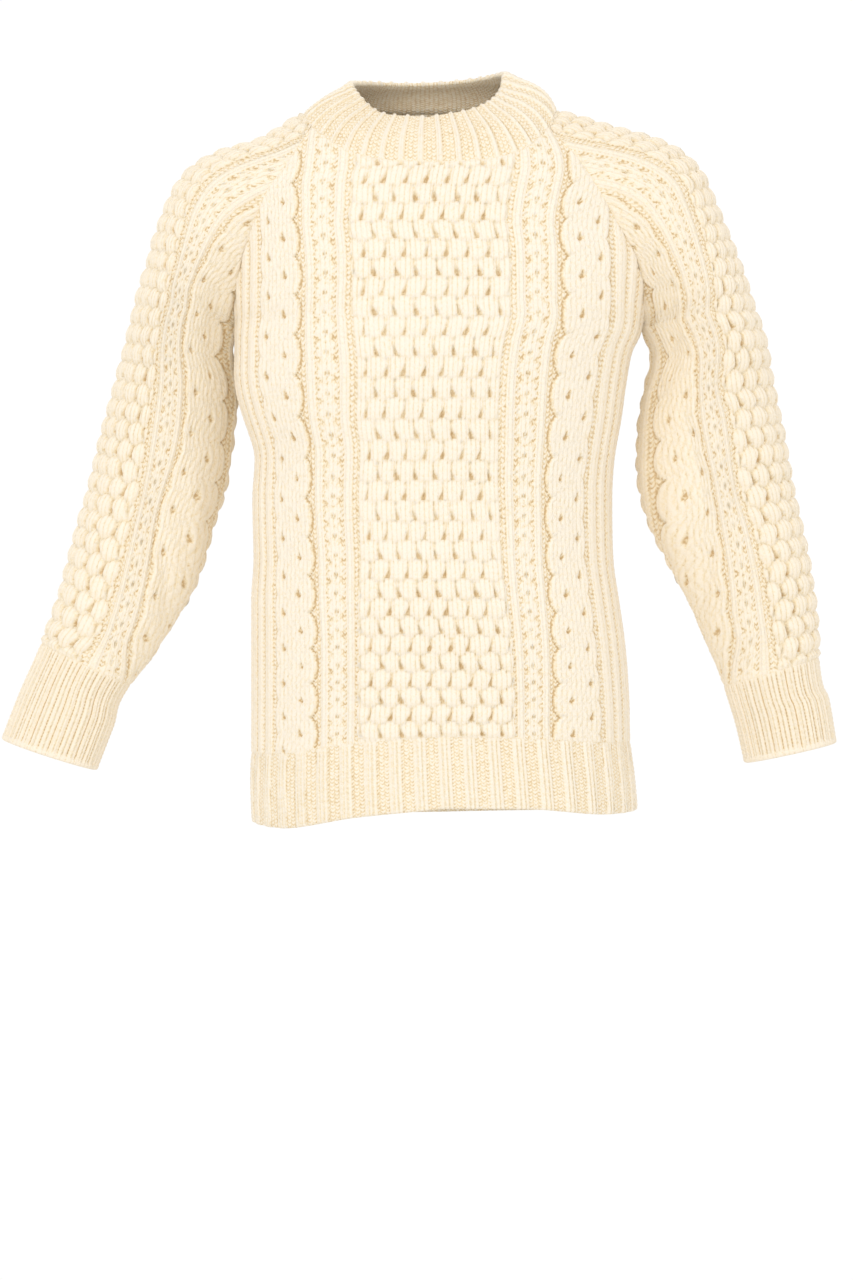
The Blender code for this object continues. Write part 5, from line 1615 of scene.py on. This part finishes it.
@lru_cache(maxsize=1)
def cut_pieces(sizes):
    """All the knitted pieces, by name, with the normals that they share along their seams."""
    pieces = [
        body_panel("knitted_front", -1, sizes),
        body_panel("knitted_back", 1, sizes),
        sleeve_piece("knitted_left_sleeve", LEFT, sizes),
        sleeve_piece("knitted_right_sleeve", RIGHT, sizes),
        neckband_piece("ribbed_neckband", sizes),
        hem_rib("ribbed_front_hem", -1, sizes),
        hem_rib("ribbed_back_hem", 1, sizes),
        cuff_piece("ribbed_left_cuff", LEFT, sizes),
        cuff_piece("ribbed_right_cuff", RIGHT, sizes),
    ]
    for piece in pieces:
        piece.flat_outline = moved_in(piece.outline, HALF_GAP)
    for piece, shared in zip(pieces, shared_normals(pieces)):
        piece.shared = shared
    return {piece.name: piece for piece in pieces}


def cut_size(piece):
    """The width, length and area of a piece's flat outline, in metres."""
    x, y = (piece.outline * MILLIMETRE).T
    area = 0.5 * abs(np.sum(x * np.roll(y, -1) - y * np.roll(x, -1)))
    return (float(np.ptp(x)), float(np.ptp(y))), float(area)


# The solid that each piece stands for, the solids it hangs from, and how strong and warm its shading is.
Finish = namedtuple("Finish", "node hangs_from shade tint")
UNTINTED = (1.0, 1.0, 1.0)
CUFF_TINT = (1.0, 0.98, 0.95)
FINISHES = {
    "knitted_front": Finish("front_panel", ("left_sleeve", "right_sleeve", "neckband"), 1.0, UNTINTED),
    "knitted_back": Finish("back_panel", ("left_sleeve", "right_sleeve", "neckband"), 1.0, UNTINTED),
    "knitted_left_sleeve": Finish("left_sleeve", ("front_panel", "back_panel"), 1.0, (1.0, 0.985, 0.96)),
    "knitted_right_sleeve": Finish("right_sleeve", ("front_panel", "back_panel"), 1.0, (1.0, 0.99, 0.97)),
    "ribbed_neckband": Finish("neckband", ("front_panel", "back_panel"), 0.9, UNTINTED),
    "ribbed_front_hem": Finish("front_hem_rib", ("front_panel",), 0.8, UNTINTED),
    "ribbed_back_hem": Finish("back_hem_rib", ("back_panel",), 0.8, UNTINTED),
    "ribbed_left_cuff": Finish("left_cuff", ("left_sleeve",), 0.9, CUFF_TINT),
    "ribbed_right_cuff": Finish("right_cuff", ("right_sleeve",), 0.9, CUFF_TINT),
}


def knit(context, name):
    """Makes one piece, puts its wool on it, attaches it to the root body and hides the solid that it stands
    for.
    """
    scene = context.scene
    sizes = measures(scene.sweater_sizes)
    piece = cut_pieces(sizes)[name]
    finish = FINISHES[name]
    mesh = knitted_mesh(piece, *piece.shared, sizes)
    mesh.materials.append(wool_material(name + "_wool", scene.sweater_colours, finish.shade, finish.tint))
    cloth = bpy.data.objects.new(name, mesh)
    scene.collection.objects.link(cloth)
    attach(cloth, "root")
    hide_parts(finish.node)
    flat, area = cut_size(piece)
    list(finish.hangs_from)


# ---------------------------------------------------------------- the operators


class SWEATER_OT_knit_body(bpy.types.Operator):
    """Knits the front and the back"""

    bl_idname = "sweater.knit_body"
    bl_label = "Knit Front and Back"

    def execute(self, context):
        for name in ("knitted_front", "knitted_back"):
            knit(context, name)
        return {"FINISHED"}


class SWEATER_OT_knit_sleeves(bpy.types.Operator):
    """Knits both sleeves"""

    bl_idname = "sweater.knit_sleeves"
    bl_label = "Knit Sleeves"

    def execute(self, context):
        for name in ("knitted_left_sleeve", "knitted_right_sleeve"):
            knit(context, name)
        return {"FINISHED"}


class SWEATER_OT_knit_neckband(bpy.types.Operator):
    """Knits the turned neckband"""

    bl_idname = "sweater.knit_neckband"
    bl_label = "Knit Neckband"

    def execute(self, context):
        knit(context, "ribbed_neckband")
        return {"FINISHED"}


class SWEATER_OT_knit_hems(bpy.types.Operator):
    """Knits the ribbed hems of the front and the back"""

    bl_idname = "sweater.knit_hems"
    bl_label = "Knit Hems"

    def execute(self, context):
        for name in ("ribbed_front_hem", "ribbed_back_hem"):
            knit(context, name)
        return {"FINISHED"}


class SWEATER_OT_knit_cuffs(bpy.types.Operator):
    """Knits the ribbed cuffs"""

    bl_idname = "sweater.knit_cuffs"
    bl_label = "Knit Cuffs"

    def execute(self, context):
        for name in ("ribbed_left_cuff", "ribbed_right_cuff"):
            knit(context, name)
        return {"FINISHED"}


class SWEATER_OT_set_stage(bpy.types.Operator):
    """Sets up the floor, the soft lights and the camera"""

    bl_idname = "sweater.set_stage"
    bl_label = "Set Stage"

    def execute(self, context):
        scene = context.scene
        stage = scene.sweater_stage
        scene.view_settings.view_transform = "Standard"
        lay_floor(stage)
        surround(scene, stage)
        for name, place, size in LIGHTS:
            soft_light(scene, name + "_light", place, size, getattr(stage, name))
        camera = bpy.data.objects.new("camera", bpy.data.cameras.new("camera"))
        camera.data.sensor_fit = "VERTICAL"
        camera.data.sensor_height = SENSOR
        camera.data.lens = SENSOR * stage.distance / stage.view_height
        camera.location = (stage.camera_x, -stage.distance, stage.camera_z)
        camera.rotation_euler = (math.pi / 2, 0, 0)
        scene.collection.objects.link(camera)
        scene.camera = camera
        return {"FINISHED"}


SENSOR = 36.0  # height of the camera's sensor
LIGHTS = (  # the setting that holds each light's power, where the light stands, and how wide it is
    ("key", (-1.7, -2.7, 0.6), 1.6),
    ("front", (-0.2, -3.1, -0.4), 1.2),
    ("side", (2.7, -1.6, 0.1), 1.8),
    ("top", (-0.3, -1.0, 2.2), 1.4),
)
LIT_PLACE = Vector((0.0, 0.0, -0.30))  # the middle of the sweater, where the lights point
FLOOR_COLOUR = (0.9, 0.89, 0.87, 1)
STUDIO_WHITE = (1, 1, 1, 1)
STUDIO_LIGHT = (1.0, 0.975, 0.94, 1)
SEEN_STRENGTH = 1.02


def lay_floor(stage):
    """A pale round floor, below the sweater and out of the picture."""
    bpy.ops.mesh.primitive_circle_add(
        vertices=96, radius=stage.floor_radius, fill_type="NGON", location=(0, 0, stage.floor_z)
    )
    floor = bpy.context.object
    floor.name = "floor"
    material = bpy.data.materials.new("pale_floor")
    material.use_nodes = True
    shader = material.node_tree.nodes["Principled BSDF"]
    shader.inputs["Base Color"].default_value = FLOOR_COLOUR
    shader.inputs["Roughness"].default_value = 0.8
    floor.data.materials.append(material)


def surround(scene, stage):
    """A white studio all round. What the camera sees of it is a little brighter than its light."""
    world = bpy.data.worlds.new("studio")
    scene.world = world
    world.use_nodes = True
    nodes, links = world.node_tree.nodes, world.node_tree.links
    seen = nodes["Background"]
    seen.inputs["Color"].default_value = STUDIO_WHITE
    seen.inputs["Strength"].default_value = SEEN_STRENGTH
    light = nodes.new("ShaderNodeBackground")
    light.inputs["Color"].default_value = STUDIO_LIGHT
    light.inputs["Strength"].default_value = stage.sky
    path = nodes.new("ShaderNodeLightPath")
    mix = nodes.new("ShaderNodeMixShader")
    links.new(path.outputs["Is Camera Ray"], mix.inputs[0])
    links.new(light.outputs[0], mix.inputs[1])
    links.new(seen.outputs[0], mix.inputs[2])
    links.new(mix.outputs[0], nodes["World Output"].inputs["Surface"])


def soft_light(scene, name, place, size, power):
    """A round soft light that points at the sweater."""
    light = bpy.data.objects.new(name, bpy.data.lights.new(name, "AREA"))
    light.data.shape = "DISK"
    light.data.size = size
    light.data.energy = power
    light.location = place
    light.rotation_euler = (LIT_PLACE - light.location).to_track_quat("-Z", "Y").to_euler()
    scene.collection.objects.link(light)


class SWEATER_PT_panel(bpy.types.Panel):
    """Lists the steps of making the sweater, and their settings"""

    bl_label = "Cable Knit Sweater"
    bl_space_type = "VIEW_3D"
    bl_region_type = "UI"
    bl_category = "Sweater"

    def draw(self, context):
        for operator in OPERATORS:
            self.layout.operator(operator.bl_idname)
        for name, group in SETTINGS:
            box = self.layout.box()
            for setting in group.__annotations__:
                box.prop(getattr(context.scene, name), setting)


OPERATORS = (
    SWEATER_OT_knit_body,
    SWEATER_OT_knit_sleeves,
    SWEATER_OT_knit_neckband,
    SWEATER_OT_knit_hems,
    SWEATER_OT_knit_cuffs,
    SWEATER_OT_set_stage,
)


def register():
    for name, group in SETTINGS:
        bpy.utils.register_class(group)
        setattr(bpy.types.Scene, name, PointerProperty(type=group))
    for item in (*OPERATORS, SWEATER_PT_panel):
        bpy.utils.register_class(item)


def unregister():
    for item in (SWEATER_PT_panel, *reversed(OPERATORS)):
        bpy.utils.unregister_class(item)
    for name, group in reversed(SETTINGS):
        delattr(bpy.types.Scene, name)
        bpy.utils.unregister_class(group)


def main():
    register()
    bpy.ops.sweater.knit_body()
    bpy.ops.sweater.knit_sleeves()
    bpy.ops.sweater.knit_neckband()
    bpy.ops.sweater.knit_hems()
    bpy.ops.sweater.knit_cuffs()
    bpy.ops.sweater.set_stage()


if __name__ == "__main__":
    main()
